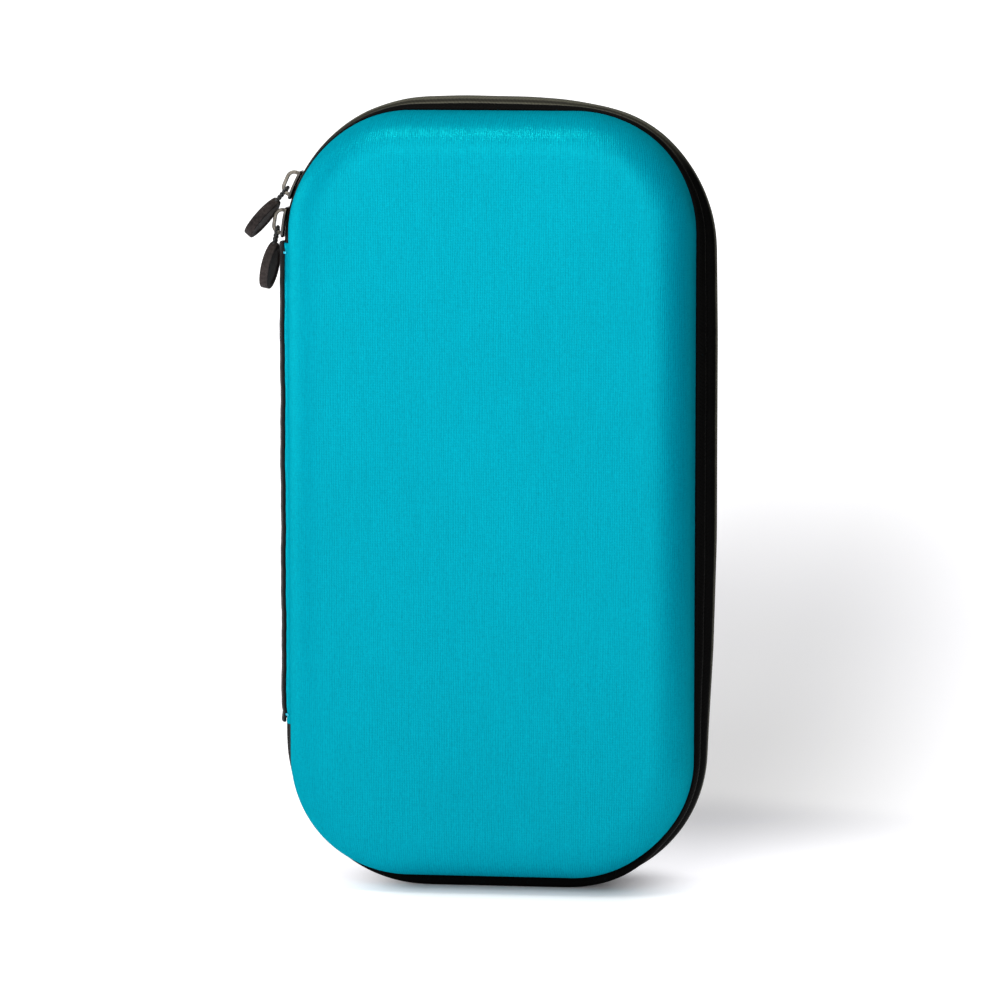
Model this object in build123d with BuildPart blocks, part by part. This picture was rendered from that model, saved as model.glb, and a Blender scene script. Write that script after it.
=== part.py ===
from build123d import *
import os
from math import sin, cos, radians

# Hard case for a stethoscope: two moulded foam shells joined down the left long
# side by a sewn fabric spine and closed round the other three sides by a zip
# with two sliders.
#
# Frame: +Z up along the case's long axis, which stands on its short end.
# +X to the right and +Y to the back as seen from the front.  The parting plane
# between the two shells is Y = 0, and the origin is the middle of the flat
# stretch of the zip band that the case stands on.

os.makedirs("parts", exist_ok=True)

# ---------------------------------------------------------------- dimensions
# outer outline of the zip band, seen from the front
band_w = 147.0
band_h = 270.0
band_r_top = 51.5
band_r_low = 50.0

# outline of the two shells under the band; they sit a little towards the spine,
# so the band stands out further on the opening side
shell_x = -1.4       # middle of the shells' width
shell_w = 138.0
shell_z0 = 4.4
shell_z1 = 265.3
shell_r = 41.0

# low step of the band beside each shell; at the bottom it is pressed level
ledge_x = -0.7
ledge_w = 142.4
ledge_top = 267.8
ledge_r_top = 47.0
ledge_r_low = 48.0

# depths either side of the parting plane
rim_y = 5.2          # edge of the foam wall
ledge_y = 8.5        # where the band meets the visible shell wall
face_y = 28.0        # flat of the front and back faces
draft = 3.5          # taper of the side walls, degrees
face_fillet = 14.5   # rounding between side wall and face

# wall make-up
skin_t = 0.6         # outer knit laminated to the foam
foam_t = 3.6         # moulded foam
lining_t = 0.5       # inner knit
wall_t = skin_t + foam_t + lining_t

# zip
tape_t = 1.0         # thickness of the tape's skirt over the chain
tape_gap = 0.15      # half the slit between the two tape edges
coil_out = 1.05      # coil, measured in from the band outline
coil_in = 2.35
bind_t = 0.8         # binding round the raw edge of each shell

# spine
spine_z0 = 55.0
spine_z1 = 220.0
spine_x = -75.2      # outermost face of the spine
zip_end_low = 65.0   # the zip's ends are tucked 10 mm under the spine
zip_end_high = 210.0
split_y = -5.4       # the coloured flap ends and the black flap begins here

# corner arc that the parked sliders sit on, and their places along it, in
# degrees above the arc's start
arc_r = band_r_top
arc_x = -(band_w / 2 - arc_r)
arc_z = band_h - arc_r
lower_at = 9.0
upper_at = 23.6
slider_half = 5.76   # half a slider's length, degrees of the arc
post_off = 2.9       # the dividing post, towards the other slider
open_from, open_to = 8.5, 24.1   # the chain is open between the two posts
open_y = 1.6

# arched bridge on each slider, outer sizes along the zip and out from the plate
bridge_l = 9.0
bridge_h = 3.6
bridge_r = 3.0
bridge_t = 1.1

# pulls
cord_d = 1.15
loop_w = 3.4         # strand to strand
disc_r = 7.5
disc_t = 3.1
disc_drop = 12.3     # from the bridge to the disc's centre
lower_hang = 11.5    # angle out from plumb; each disc leans on what is below it
upper_hang = 40.0
disc_turn = 5.0      # both discs are turned a little to the front


# ------------------------------------------------------------------ outlines
def shell_line(inset):
    return (shell_x, shell_w - 2 * inset, shell_z0 + inset, shell_z1 - inset, shell_r - inset, shell_r - inset)


def band_line(inset):
    return (0.0, band_w - 2 * inset, inset, band_h - inset, band_r_top - inset, band_r_low - inset)


def ledge_line(inset):
    return (ledge_x, ledge_w - 2 * inset, inset, ledge_top - inset, ledge_r_top - inset, ledge_r_low - inset)


def rounded(x_mid, width, z_low, z_high, r_top, r_low, mode=Mode.ADD):
    """Upright rounded outline drawn in the sketch that is open."""
    w, e = x_mid - width / 2, x_mid + width / 2
    with BuildLine() as edge:
        Line((w + r_low, z_low), (e - r_low, z_low))
        CenterArc((e - r_low, z_low + r_low), r_low, 270, 90)
        Line((e, z_low + r_low), (e, z_high - r_top))
        CenterArc((e - r_top, z_high - r_top), r_top, 0, 90)
        Line((e - r_top, z_high), (w + r_top, z_high))
        CenterArc((w + r_top, z_high - r_top), r_top, 90, 90)
        Line((w, z_high - r_top), (w, z_low + r_low))
        CenterArc((w + r_low, z_low + r_low), r_low, 180, 90)
    make_face(edge.edges(), mode=mode)


def on_arc(angle, radius):
    """Point on the top left corner arc, angle above the arc's start."""
    return (arc_x - radius * cos(radians(angle)), arc_z + radius * sin(radians(angle)))


def sector(mid, half, r_in, r_out, mode=Mode.ADD):
    """Slice of a ring about the corner arc's centre, in the open sketch."""
    a, b = mid - half, mid + half
    with BuildLine() as edge:
        ThreePointArc(on_arc(a, r_out), on_arc(mid, r_out), on_arc(b, r_out))
        Line(on_arc(b, r_out), on_arc(b, r_in))
        ThreePointArc(on_arc(b, r_in), on_arc(mid, r_in), on_arc(a, r_in))
        Line(on_arc(a, r_in), on_arc(a, r_out))
    make_face(edge.edges(), mode=mode)


# ------------------------------------------------------------------- shells
def shell_block(inset):
    """Solid block inside the front shell's surface, moved in by inset."""
    with BuildPart() as block:
        with BuildSketch(Plane.XZ.offset(rim_y)):
            rounded(*shell_line(inset))
        extrude(amount=ledge_y - rim_y)
        with BuildSketch(Plane.XZ.offset(ledge_y)):
            rounded(*shell_line(inset))
        extrude(amount=face_y - inset - ledge_y, taper=draft)
        fillet(block.faces().sort_by(Axis.Y)[0].edges(), face_fillet - inset)
    return block.part


surface_0 = shell_block(0.0)
surface_1 = shell_block(skin_t)
surface_2 = shell_block(skin_t + foam_t)
surface_3 = shell_block(wall_t)

with BuildPart() as front_fabric_skin:
    add(surface_0)
    add(surface_1, mode=Mode.SUBTRACT)

with BuildPart() as front_eva_shell:
    add(surface_1)
    add(surface_2, mode=Mode.SUBTRACT)

with BuildPart() as front_lining:
    add(surface_2)
    add(surface_3, mode=Mode.SUBTRACT)

with BuildPart() as rear_fabric_skin:
    mirror(front_fabric_skin.part, about=Plane.XZ)

with BuildPart() as rear_eva_shell:
    mirror(front_eva_shell.part, about=Plane.XZ)

with BuildPart() as rear_lining:
    mirror(front_lining.part, about=Plane.XZ)

# ---------------------------------------------------------------- zip tapes
# Each tape is a low step sewn round its shell, then a skirt that stands proud
# over the chain.  Both are level along the bottom, where the case stands.
with BuildPart() as front_zip_tape:
    with BuildSketch(Plane.XZ.offset(5.0)):
        rounded(*ledge_line(0))
        rounded(*shell_line(0), mode=Mode.SUBTRACT)
    extrude(amount=ledge_y - 5.0)
    with BuildSketch(Plane.XZ.offset(tape_gap)):
        rounded(*band_line(0))
        rounded(*band_line(tape_t), mode=Mode.SUBTRACT)
    extrude(amount=5.0 - tape_gap)
    with BuildSketch(Plane.XZ.offset(4.2)):
        rounded(*band_line(0))
        rounded(*shell_line(0), mode=Mode.SUBTRACT)
    extrude(amount=0.8)
    # the zip stops under the spine
    with Locations((-70, 0, (zip_end_low + zip_end_high) / 2)):
        Box(20, 40, zip_end_high - zip_end_low, mode=Mode.SUBTRACT)
    # tape edges spread where the sliders' posts stand between them
    with BuildSketch(Plane.XZ):
        sector((open_from + open_to) / 2, (open_to - open_from) / 2, arc_r - 1.4, arc_r + 1.0)
    extrude(amount=open_y, mode=Mode.SUBTRACT)

with BuildPart() as rear_zip_tape:
    mirror(front_zip_tape.part, about=Plane.XZ)

# ---------------------------------------------------------------- zip coils
with BuildPart() as front_zip_coil:
    with BuildSketch(Plane.XZ.offset(0.05)):
        rounded(*band_line(coil_out))
        rounded(*band_line(coil_in), mode=Mode.SUBTRACT)
    extrude(amount=1.4)
    with Locations((-70, 0, (zip_end_low + zip_end_high) / 2)):
        Box(20, 40, zip_end_high - zip_end_low, mode=Mode.SUBTRACT)
    with BuildSketch(Plane.XZ):
        sector((open_from + open_to) / 2, (open_to - open_from) / 2, arc_r - 3.5, arc_r + 0.5)
    extrude(amount=1.6, mode=Mode.SUBTRACT)
    # the open stretch, set back, with a step into it at each end
    with BuildSketch(Plane.XZ.offset(1.7)):
        sector((open_from + open_to) / 2, (open_to - open_from) / 2 + 0.6, arc_r - coil_in, arc_r - coil_out)
    extrude(amount=1.4)
    for end in (open_from - 0.3, open_to + 0.3):
        with BuildSketch(Plane.XZ.offset(0.05)):
            sector(end, 0.3, arc_r - coil_in, arc_r - coil_out)
        extrude(amount=3.05)

with BuildPart() as rear_zip_coil:
    mirror(front_zip_coil.part, about=Plane.XZ)

# ------------------------------------------------------- binding and threads
with BuildPart() as front_rim_binding:
    with BuildSketch(Plane.XZ.offset(rim_y - bind_t)):
        rounded(*shell_line(0))
        rounded(*shell_line(wall_t + bind_t), mode=Mode.SUBTRACT)
    extrude(amount=bind_t)
    with BuildSketch(Plane.XZ.offset(rim_y - bind_t)):
        rounded(*shell_line(wall_t))
        rounded(*shell_line(wall_t + bind_t), mode=Mode.SUBTRACT)
    extrude(amount=8.4 - (rim_y - bind_t))

with BuildPart() as rear_rim_binding:
    mirror(front_rim_binding.part, about=Plane.XZ)

with BuildPart() as front_seam_thread:
    with BuildSketch(Plane.XZ.offset(7.2)):
        rounded(*shell_line(wall_t + bind_t))
        rounded(*shell_line(wall_t + bind_t + 0.3), mode=Mode.SUBTRACT)
    extrude(amount=0.5)

with BuildPart() as rear_seam_thread:
    mirror(front_seam_thread.part, about=Plane.XZ)

# -------------------------------------------------------------------- spine
# Coloured flap from the front shell over the band's step, then a black flap
# over the crown of the band and down to the rear shell.
with BuildPart() as spine_front_flap:
    with BuildSketch(Plane.XY.offset(spine_z0)):
        with BuildLine():
            Polyline(
                (-73.25, split_y - 0.1), (-73.15, -6.6), (-72.6, -8.1), (-71.5, -9.4), (-70.42, -9.8),
                (-70.42, -8.55), (-71.95, -8.55), (-71.95, split_y - 0.1),
                close=True,
            )
        make_face()
    extrude(amount=spine_z1 - spine_z0)

with BuildPart() as spine_rear_flap:
    with BuildSketch(Plane.XY.offset(spine_z0)):
        with BuildLine():
            Polyline(
                (-71.95, split_y), (-74.0, split_y), (-74.75, -3.4), (-75.05, -1.0), (spine_x, 2.0), (spine_x, 4.4),
                (-74.4, 6.6), (-72.6, 8.6), (-71.2, 9.6), (-70.42, 9.8),
                (-70.42, 8.55), (-71.95, 8.55), (-71.95, 5.05), (-73.55, 5.05), (-73.55, -5.05), (-71.95, -5.05),
                close=True,
            )
        make_face()
    extrude(amount=spine_z1 - spine_z0)

with BuildPart() as spine_inner_tape:
    with Locations((-62.75 + shell_x, 0, (spine_z0 + spine_z1) / 2)):
        Box(0.8, 16.6, spine_z1 - spine_z0 - 10)


def tacks(x, y, out_x, out_y):
    """Bar tacks across a flap, one near each end of the spine; out is the cloth's outward direction."""
    with BuildPart() as pair:
        for z in (spine_z0 + 3.2, spine_z1 - 3.2):
            slope = Plane(origin=(x, y, z), x_dir=(-out_y, out_x, 0), z_dir=(out_x, out_y, 0))
            with BuildSketch(slope):
                Rectangle(1.6, 0.9)
            extrude(amount=0.3)
    return pair.part


with BuildPart() as spine_front_tacks:
    add(tacks(-72.05, -8.75, -0.7634, -0.6459))

with BuildPart() as spine_rear_tacks:
    add(tacks(-73.5, 7.6, -0.7433, 0.669))

# ------------------------------------------------------------------ sliders
def slider(at, toward):
    """Die cast body: plate outside the tapes, plate inside the coils, and the post between them."""
    with BuildPart() as body:
        with BuildSketch(Plane.XZ):
            sector(at, slider_half, arc_r + 0.15, arc_r + 1.15)
        extrude(amount=4.2, both=True)
        with BuildSketch(Plane.XZ):
            sector(at, slider_half - 0.5, arc_r - 3.5, arc_r - 2.55)
        extrude(amount=3.9, both=True)
        with BuildSketch(Plane.XZ):
            sector(at + toward * post_off, 2.28, arc_r - 2.7, arc_r + 0.3)
        extrude(amount=1.3, both=True)
        for side in (-3.9, 3.4):
            with BuildSketch(Plane.XZ.offset(side)):
                sector(at, slider_half - 0.5, arc_r - 2.7, arc_r - 1.5)
            extrude(amount=0.5)
        corners = body.edges().filter_by(GeomType.LINE).filter_by(lambda e: abs(e.length - 1.0) < 0.02)
        fillet(corners, 1.6)
    return body.part


def crown(at):
    """Arched bridge on the slider's outer plate that carries the pull."""
    x, z = on_arc(at, arc_r + 1.15)
    with BuildPart() as bridge:
        with BuildSketch(Plane.XZ):
            with Locations(Location((x, z, 0), (0, 0, 90 - at))):
                RectangleRounded(bridge_l, 2 * bridge_h, bridge_r)
                RectangleRounded(bridge_l - 2 * bridge_t, 2 * (bridge_h - bridge_t), bridge_r - bridge_t, mode=Mode.SUBTRACT)
            with Locations((arc_x, arc_z)):
                Circle(arc_r + 1.15, mode=Mode.SUBTRACT)
        extrude(amount=0.7, both=True)
    return bridge.part


with BuildPart() as lower_slider_body:
    add(slider(lower_at, 1))
with BuildPart() as lower_slider_crown:
    add(crown(lower_at))
with BuildPart() as upper_slider_body:
    add(slider(upper_at, -1))
with BuildPart() as upper_slider_crown:
    add(crown(upper_at))


def crown_point(at, along, out):
    """Point on a bridge: along the zip and out from the slider's plate."""
    x, z = on_arc(at, arc_r + 1.15)
    a = radians(at)
    return (x + along * sin(a) - out * cos(a), z + along * cos(a) + out * sin(a))


lower_pivot = crown_point(lower_at, -3.69, 1.7)
upper_pivot = crown_point(upper_at, -3.51, 2.0)
print("lower pull pivot", lower_pivot, "upper pull pivot", upper_pivot)


def pull_plane(pivot, hang):
    """Plane of a pull: origin at the bridge, local Y up the cord, normal out of the disc's face."""
    a, t = radians(hang), radians(disc_turn)
    down = Vector(-sin(a), 0, -cos(a))
    face = Vector(cos(a) * cos(t), -sin(t), -sin(a) * cos(t))
    return Plane(origin=(pivot[0], 0, pivot[1]), x_dir=face.cross(down), z_dir=face)


def pull_cord(pivot, hang):
    """Doubled cord: a bend round the bridge and two strands into the disc."""
    h = loop_w / 2
    plane = pull_plane(pivot, hang)
    with BuildPart() as loop:
        with BuildLine(plane) as route:
            Line((-h, -6.2), (-h, 0))
            ThreePointArc((-h, 0), (0, h), (h, 0))
            Line((h, 0), (h, -6.2))
        with BuildSketch(Plane(origin=route.line @ 0, z_dir=route.line % 0)):
            Circle(cord_d / 2)
        sweep()
    return loop.part


def pull_disc(pivot, hang, cord):
    """Moulded rubber disc closed over the ends of its cord."""
    plane = pull_plane(pivot, hang)
    with BuildPart() as disc:
        with BuildSketch(plane):
            with Locations((0, -disc_drop)):
                Circle(disc_r)
        extrude(amount=disc_t / 2, both=True)
        fillet(disc.edges(), 0.5)
        add(cord, mode=Mode.SUBTRACT)
    return disc.part


with BuildPart() as lower_pull_cord:
    add(pull_cord(lower_pivot, lower_hang))
with BuildPart() as lower_pull_disc:
    add(pull_disc(lower_pivot, lower_hang, lower_pull_cord.part))
with BuildPart() as upper_pull_cord:
    add(pull_cord(upper_pivot, upper_hang))
with BuildPart() as upper_pull_disc:
    add(pull_disc(upper_pivot, upper_hang, upper_pull_cord.part))

# ------------------------------------------------------------------ fittings
inner_face = face_y - wall_t

# net pocket across the lower part of the lid, with an elastic top edge
with BuildPart() as pocket_mesh:
    with BuildSketch(Plane.XZ.offset(16.4)):
        rounded(shell_x, shell_w - 12.4, shell_z0 + 6.2, 180.0, 0.5, shell_r - 6.2)
    extrude(amount=0.6)

with BuildPart() as pocket_elastic:
    with Locations((shell_x, -16.7, 184.0)):
        Box(shell_w - 13.4, 1.2, 8.0)
    fillet(pocket_elastic.edges().filter_by(Axis.X), 0.4)

# elastic strap across the back shell, sewn down at both ends
with BuildPart() as retaining_strap:
    with BuildSketch(Plane(origin=(shell_x, 0, 150.0))):
        with BuildLine():
            Polyline((-30, inner_face), (-38, inner_face), (-38, inner_face - 1), (-30, inner_face - 1))
            ThreePointArc((-30, inner_face - 1), (0, inner_face - 10), (30, inner_face - 1))
            Polyline((30, inner_face - 1), (38, inner_face - 1), (38, inner_face), (30, inner_face))
            ThreePointArc((30, inner_face), (0, inner_face - 9), (-30, inner_face))
        make_face()
    extrude(amount=25)

with BuildPart() as strap_tacks:
    for x in (-34.5, 34.5):
        with Locations((shell_x + x, inner_face - 1.15, 162.5)):
            Box(4.0, 0.3, 21.0)

# -------------------------------------------------------------------- export
pieces = {
    "front_fabric_skin": front_fabric_skin,
    "front_eva_shell": front_eva_shell,
    "front_lining": front_lining,
    "rear_fabric_skin": rear_fabric_skin,
    "rear_eva_shell": rear_eva_shell,
    "rear_lining": rear_lining,
    "front_zip_tape": front_zip_tape,
    "rear_zip_tape": rear_zip_tape,
    "front_zip_coil": front_zip_coil,
    "rear_zip_coil": rear_zip_coil,
    "front_rim_binding": front_rim_binding,
    "rear_rim_binding": rear_rim_binding,
    "front_seam_thread": front_seam_thread,
    "rear_seam_thread": rear_seam_thread,
    "spine_front_flap": spine_front_flap,
    "spine_rear_flap": spine_rear_flap,
    "spine_inner_tape": spine_inner_tape,
    "spine_front_tacks": spine_front_tacks,
    "spine_rear_tacks": spine_rear_tacks,
    "lower_slider_body": lower_slider_body,
    "lower_slider_crown": lower_slider_crown,
    "upper_slider_body": upper_slider_body,
    "upper_slider_crown": upper_slider_crown,
    "lower_pull_cord": lower_pull_cord,
    "lower_pull_disc": lower_pull_disc,
    "upper_pull_cord": upper_pull_cord,
    "upper_pull_disc": upper_pull_disc,
    "pocket_mesh": pocket_mesh,
    "pocket_elastic": pocket_elastic,
    "retaining_strap": retaining_strap,
    "strap_tacks": strap_tacks,
}

for name, piece in pieces.items():
    piece.part.label = name
    export_step(piece.part, f"parts/{name}.step")
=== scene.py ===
import math
import random

import bmesh
import bpy
import numpy as np
from mathutils import Matrix, Vector


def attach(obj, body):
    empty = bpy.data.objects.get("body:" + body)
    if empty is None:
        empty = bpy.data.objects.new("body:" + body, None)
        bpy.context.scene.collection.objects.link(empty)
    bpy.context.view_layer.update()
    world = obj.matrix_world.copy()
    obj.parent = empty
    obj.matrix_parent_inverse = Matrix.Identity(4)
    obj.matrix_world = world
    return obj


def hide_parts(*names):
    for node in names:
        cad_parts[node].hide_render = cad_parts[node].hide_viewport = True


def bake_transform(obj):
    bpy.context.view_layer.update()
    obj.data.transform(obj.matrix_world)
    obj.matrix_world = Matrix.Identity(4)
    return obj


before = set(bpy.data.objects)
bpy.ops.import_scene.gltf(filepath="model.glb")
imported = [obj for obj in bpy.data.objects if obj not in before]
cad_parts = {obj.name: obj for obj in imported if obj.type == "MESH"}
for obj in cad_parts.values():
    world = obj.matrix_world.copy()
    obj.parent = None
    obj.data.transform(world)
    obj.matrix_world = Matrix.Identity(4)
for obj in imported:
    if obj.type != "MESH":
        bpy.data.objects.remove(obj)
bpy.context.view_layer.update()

rng = random.Random(11)
MM = 0.001

# ------------------------------------------------------------------ sizes, mm
SHELL_X, SHELL_W, SHELL_Z0, SHELL_Z1, SHELL_R = -1.4, 138.0, 4.4, 265.3, 41.0
BAND_W, BAND_H, BAND_R_TOP, BAND_R_LOW = 147.0, 270.0, 51.5, 50.0
RIM_Y, LEDGE_Y, FACE_Y = 5.2, 8.5, 28.0
DRAFT, FILLET = math.radians(3.5), 14.5
WALL = 4.7
ARC_X, ARC_Z, ARC_R = -22.0, 218.5, 51.5      # the corner that the sliders are parked on
SPINE_Z0, SPINE_Z1 = 55.0, 220.0
ZIP_LOW, ZIP_HIGH = 65.0, 210.0
LOWER_AT, UPPER_AT = 9.0, 23.6
LOWER_PIVOT, UPPER_PIVOT = (-76.2581, 223.3576), (-73.4844, 237.1626)
LOWER_HANG, UPPER_HANG, DISC_TURN = 11.5, 40.0, 5.0


def smooth(x, a, b):
    """0 below a, 1 above b, eased between."""
    t = np.clip((np.asarray(x, float) - a) / (b - a), 0, 1)
    return t * t * (3 - 2 * t)


# ------------------------------------------------------------------ camera
def aim(at, azimuth, elevation, distance, lens):
    a, e = math.radians(azimuth), math.radians(elevation)
    back = Vector((math.sin(a) * math.cos(e), -math.cos(a) * math.cos(e), math.sin(e)))
    data = bpy.data.cameras.new("camera")
    cam = bpy.data.objects.new("camera", data)
    bpy.context.scene.collection.objects.link(cam)
    cam.location = Vector(at) + back * distance
    cam.rotation_mode = "QUATERNION"
    cam.rotation_quaternion = (-back).to_track_quat("-Z", "Y")
    data.sensor_width = 36.0
    data.lens = lens
    data.clip_start, data.clip_end = 0.01, 50
    bpy.context.scene.camera = cam
    return cam


aim(at=(0.0003, 0.0, 0.1323), azimuth=7.0, elevation=7.0, distance=1.8, lens=190.0)


# ------------------------------------------------------------------ outlines
def rounded(x_mid, width, z0, z1, r_top, r_low, step=0.25):
    """Rounded upright outline from the middle of its bottom edge round by the right."""
    h = width / 2
    pts = []

    def line(a, b):
        n = max(2, int(math.dist(a, b) / step))
        for i in range(n):
            t = i / n
            pts.append((a[0] + (b[0] - a[0]) * t, a[1] + (b[1] - a[1]) * t))

    def arc(cx, cz, r, start):
        n = int(r * math.pi / 2 / step)
        for i in range(n):
            t = math.radians(start + 90 * i / n)
            pts.append((cx + r * math.cos(t), cz + r * math.sin(t)))

    line((0, z0), (h - r_low, z0))
    arc(h - r_low, z0 + r_low, r_low, 270)
    line((h, z0 + r_low), (h, z1 - r_top))
    arc(h - r_top, z1 - r_top, r_top, 0)
    line((h - r_top, z1), (-h + r_top, z1))
    arc(-h + r_top, z1 - r_top, r_top, 90)
    line((-h, z1 - r_top), (-h, z0 + r_low))
    arc(-h + r_low, z0 + r_low, r_low, 180)
    line((-h + r_low, z0), (0, z0))
    return np.array(pts) + np.array([x_mid, 0.0])


def lengths(p):
    return np.concatenate([[0], np.cumsum(np.linalg.norm(np.diff(np.vstack([p, p[:1]]), axis=0), axis=1))])


def resample(p, n):
    s = lengths(p)
    q = np.vstack([p, p[:1]])
    at = np.linspace(0, s[-1], n, endpoint=False)
    return np.stack([np.interp(at, s, q[:, 0]), np.interp(at, s, q[:, 1])], axis=1)


def normals(p, soft=0):
    t = np.roll(p, -1, axis=0) - np.roll(p, 1, axis=0)
    t /= np.linalg.norm(t, axis=1)[:, None]
    n = np.stack([t[:, 1], -t[:, 0]], axis=1)
    for _ in range(soft):
        n = (np.roll(n, 1, axis=0) + 2 * n + np.roll(n, -1, axis=0)) / 4
    return n / np.linalg.norm(n, axis=1)[:, None]


N = 384
S_CAD = resample(rounded(SHELL_X, SHELL_W, SHELL_Z0, SHELL_Z1, SHELL_R, SHELL_R), N)
N_CAD = normals(S_CAD, 3)


def towards(n, degrees, spread):
    """How near an outline normal is to a direction, 1 on it and fading over spread degrees."""
    a = np.degrees(np.arctan2(n[:, 1], n[:, 0]))
    d = (a - degrees + 180) % 360 - 180
    return np.exp(-((d / spread) ** 2))


# the moulded shells are not quite the drawn outline: their corners differ a little
grow = -0.75 * towards(N_CAD, 135, 30) - 0.5 * towards(N_CAD, -45, 22) + 0.4 * towards(N_CAD, 45, 22) + 0.2 * towards(N_CAD, -135, 22)
S = S_CAD + N_CAD * grow[:, None]
NRM = normals(S, 4)

# the soft band bows out half way up its open side and draws in at the lower corner and on the shoulders
B_CAD = resample(rounded(0.0, BAND_W, 0.0, BAND_H, BAND_R_TOP, BAND_R_LOW), 1600)
BN = normals(B_CAD, 3)
b_grow = np.interp(B_CAD[:, 1], [0, 12, 30, 48, 60, 82, 120, 190, 225, 250, 270], [0, -0.3, -1.0, -1.8, -1.2, 0, 1.0, 1.0, 0.5, 0, 0]) * np.clip(BN[:, 0], 0, 1) ** 2
b_grow += np.interp(B_CAD[:, 0], [-62, -45, -39, -33, -22, -12, 0, 10, 20, 30, 38, 46, 56, 66],
                    [0, 0, -0.35, -0.30, -0.30, 0.1, -0.15, -0.25, -0.9, -1.9, -1.6, -0.85, -0.1, 0]) * np.clip(BN[:, 1], 0, 1) ** 2
for _ in range(60):
    b_grow = (np.roll(b_grow, 1) + 2 * b_grow + np.roll(b_grow, -1)) / 4
B = B_CAD + BN * b_grow[:, None]


def reach(p, n, poly):
    """Distance from p along n to a closed outline."""
    a = poly
    b = np.roll(poly, -1, axis=0)
    e = b - a
    d = a - p
    cross = n[0] * e[:, 1] - n[1] * e[:, 0]
    cross = np.where(np.abs(cross) < 1e-12, 1e-12, cross)
    t = (d[:, 0] * e[:, 1] - d[:, 1] * e[:, 0]) / cross
    u = (d[:, 0] * n[1] - d[:, 1] * n[0]) / cross
    ok = (u >= -1e-9) & (u <= 1 + 1e-9) & (t > -8) & (t < 30)
    return float(t[ok].min()) if ok.any() else 4.0


OVER = np.array([reach(p, n, B) for p, n in zip(S, NRM)])
for _ in range(2):
    OVER = (np.roll(OVER, 1) + 2 * OVER + np.roll(OVER, -1)) / 4
SLEN = lengths(S)
LENGTH = SLEN[-1]


def at(s):
    """Shell outline point, its outward normal and the band's overhang at arc length s."""
    s = np.asarray(s, float) % LENGTH
    ring = lambda v: np.concatenate([v, v[:1]])
    px, pz = np.interp(s, SLEN, ring(S[:, 0])), np.interp(s, SLEN, ring(S[:, 1]))
    nx, nz = np.interp(s, SLEN, ring(NRM[:, 0])), np.interp(s, SLEN, ring(NRM[:, 1]))
    k = np.hypot(nx, nz)
    return np.stack([px, pz], -1), np.stack([nx / k, nz / k], -1), np.interp(s, SLEN, ring(OVER))


left = np.where((S[:, 0] < -60))[0]
S_HIGH = float(np.interp(-ZIP_HIGH, -S[left, 1], SLEN[left]))
S_LOW = float(np.interp(-ZIP_LOW, -S[left, 1], SLEN[left]))
ZIP_START, ZIP_END = S_LOW - LENGTH, S_HIGH      # from the low end round by the right to the high end


# ------------------------------------------------------------------ mesh tools
def build(name, verts, faces, uvs=None, smooth_all=True, merge=0.0):
    """A closed mesh object from points in mm, its normals turned outward."""
    me = bpy.data.meshes.new(name)
    me.from_pydata([(v[0] * MM, v[1] * MM, v[2] * MM) for v in verts], [], faces)
    if uvs is not None:
        layer = me.uv_layers.new(name="UVMap")
        flat = np.array([uvs[i] for f in faces for i in f], float) * MM
        layer.data.foreach_set("uv", flat.ravel())
    bm = bmesh.new()
    bm.from_mesh(me)
    if merge:
        bmesh.ops.remove_doubles(bm, verts=bm.verts, dist=merge * MM)
    bmesh.ops.recalc_face_normals(bm, faces=bm.faces)
    for f in bm.faces:
        f.smooth = smooth_all
    bm.to_mesh(me)
    bm.free()
    ob = bpy.data.objects.new(name, me)
    bpy.context.scene.collection.objects.link(ob)
    return ob


def sharpen(ob, degrees=35):
    """Keeps hard edges hard in a smooth shaded mesh."""
    bm = bmesh.new()
    bm.from_mesh(ob.data)
    limit = math.radians(degrees)
    for e in bm.edges:
        if len(e.link_faces) == 2 and e.calc_face_angle(0) > limit:
            e.smooth = False
    bm.to_mesh(ob.data)
    bm.free()


def strip(rings, closed_path=False, closed_ring=True, caps=True):
    """Faces between rings of equal count, and flat caps at the ends of an open path."""
    m = len(rings[0])
    faces = []
    count = len(rings)
    for i in range(count if closed_path else count - 1):
        j = (i + 1) % count
        for k in range(m if closed_ring else m - 1):
            l = (k + 1) % m
            faces.append((i * m + k, i * m + l, j * m + l, j * m + k))
    if not closed_path and caps:
        faces.append(tuple(range(m - 1, -1, -1)))
        faces.append(tuple((count - 1) * m + k for k in range(m)))
    return faces


def lofted(name, rings, closed_path=False, uvs=None, **more):
    verts = np.concatenate([np.asarray(r, float) for r in rings])
    faces = strip(rings, closed_path)
    return build(name, verts, faces, None if uvs is None else np.concatenate(uvs), **more)


def tube(points, radius, sides=8, closed=False, name=None):
    """Round tube along points, its radius one value or one per point; returns rings."""
    p = np.asarray(points, float)
    n = len(p)
    if closed:
        t = np.roll(p, -1, axis=0) - np.roll(p, 1, axis=0)
    else:
        t = np.gradient(p, axis=0)
    t /= np.linalg.norm(t, axis=1)[:, None]
    u = np.cross(t[0], (0.31, 0.87, 0.12))
    u /= np.linalg.norm(u)
    rings = []
    ang = np.arange(sides) * 2 * np.pi / sides
    rad = np.full(n, radius) if np.isscalar(radius) else np.asarray(radius, float)
    for i in range(n):
        u = u - t[i] * np.dot(u, t[i])
        u /= np.linalg.norm(u)
        v = np.cross(t[i], u)
        rings.append(p[i] + rad[i] * (np.outer(np.cos(ang), u) + np.outer(np.sin(ang), v)))
    return rings


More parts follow.
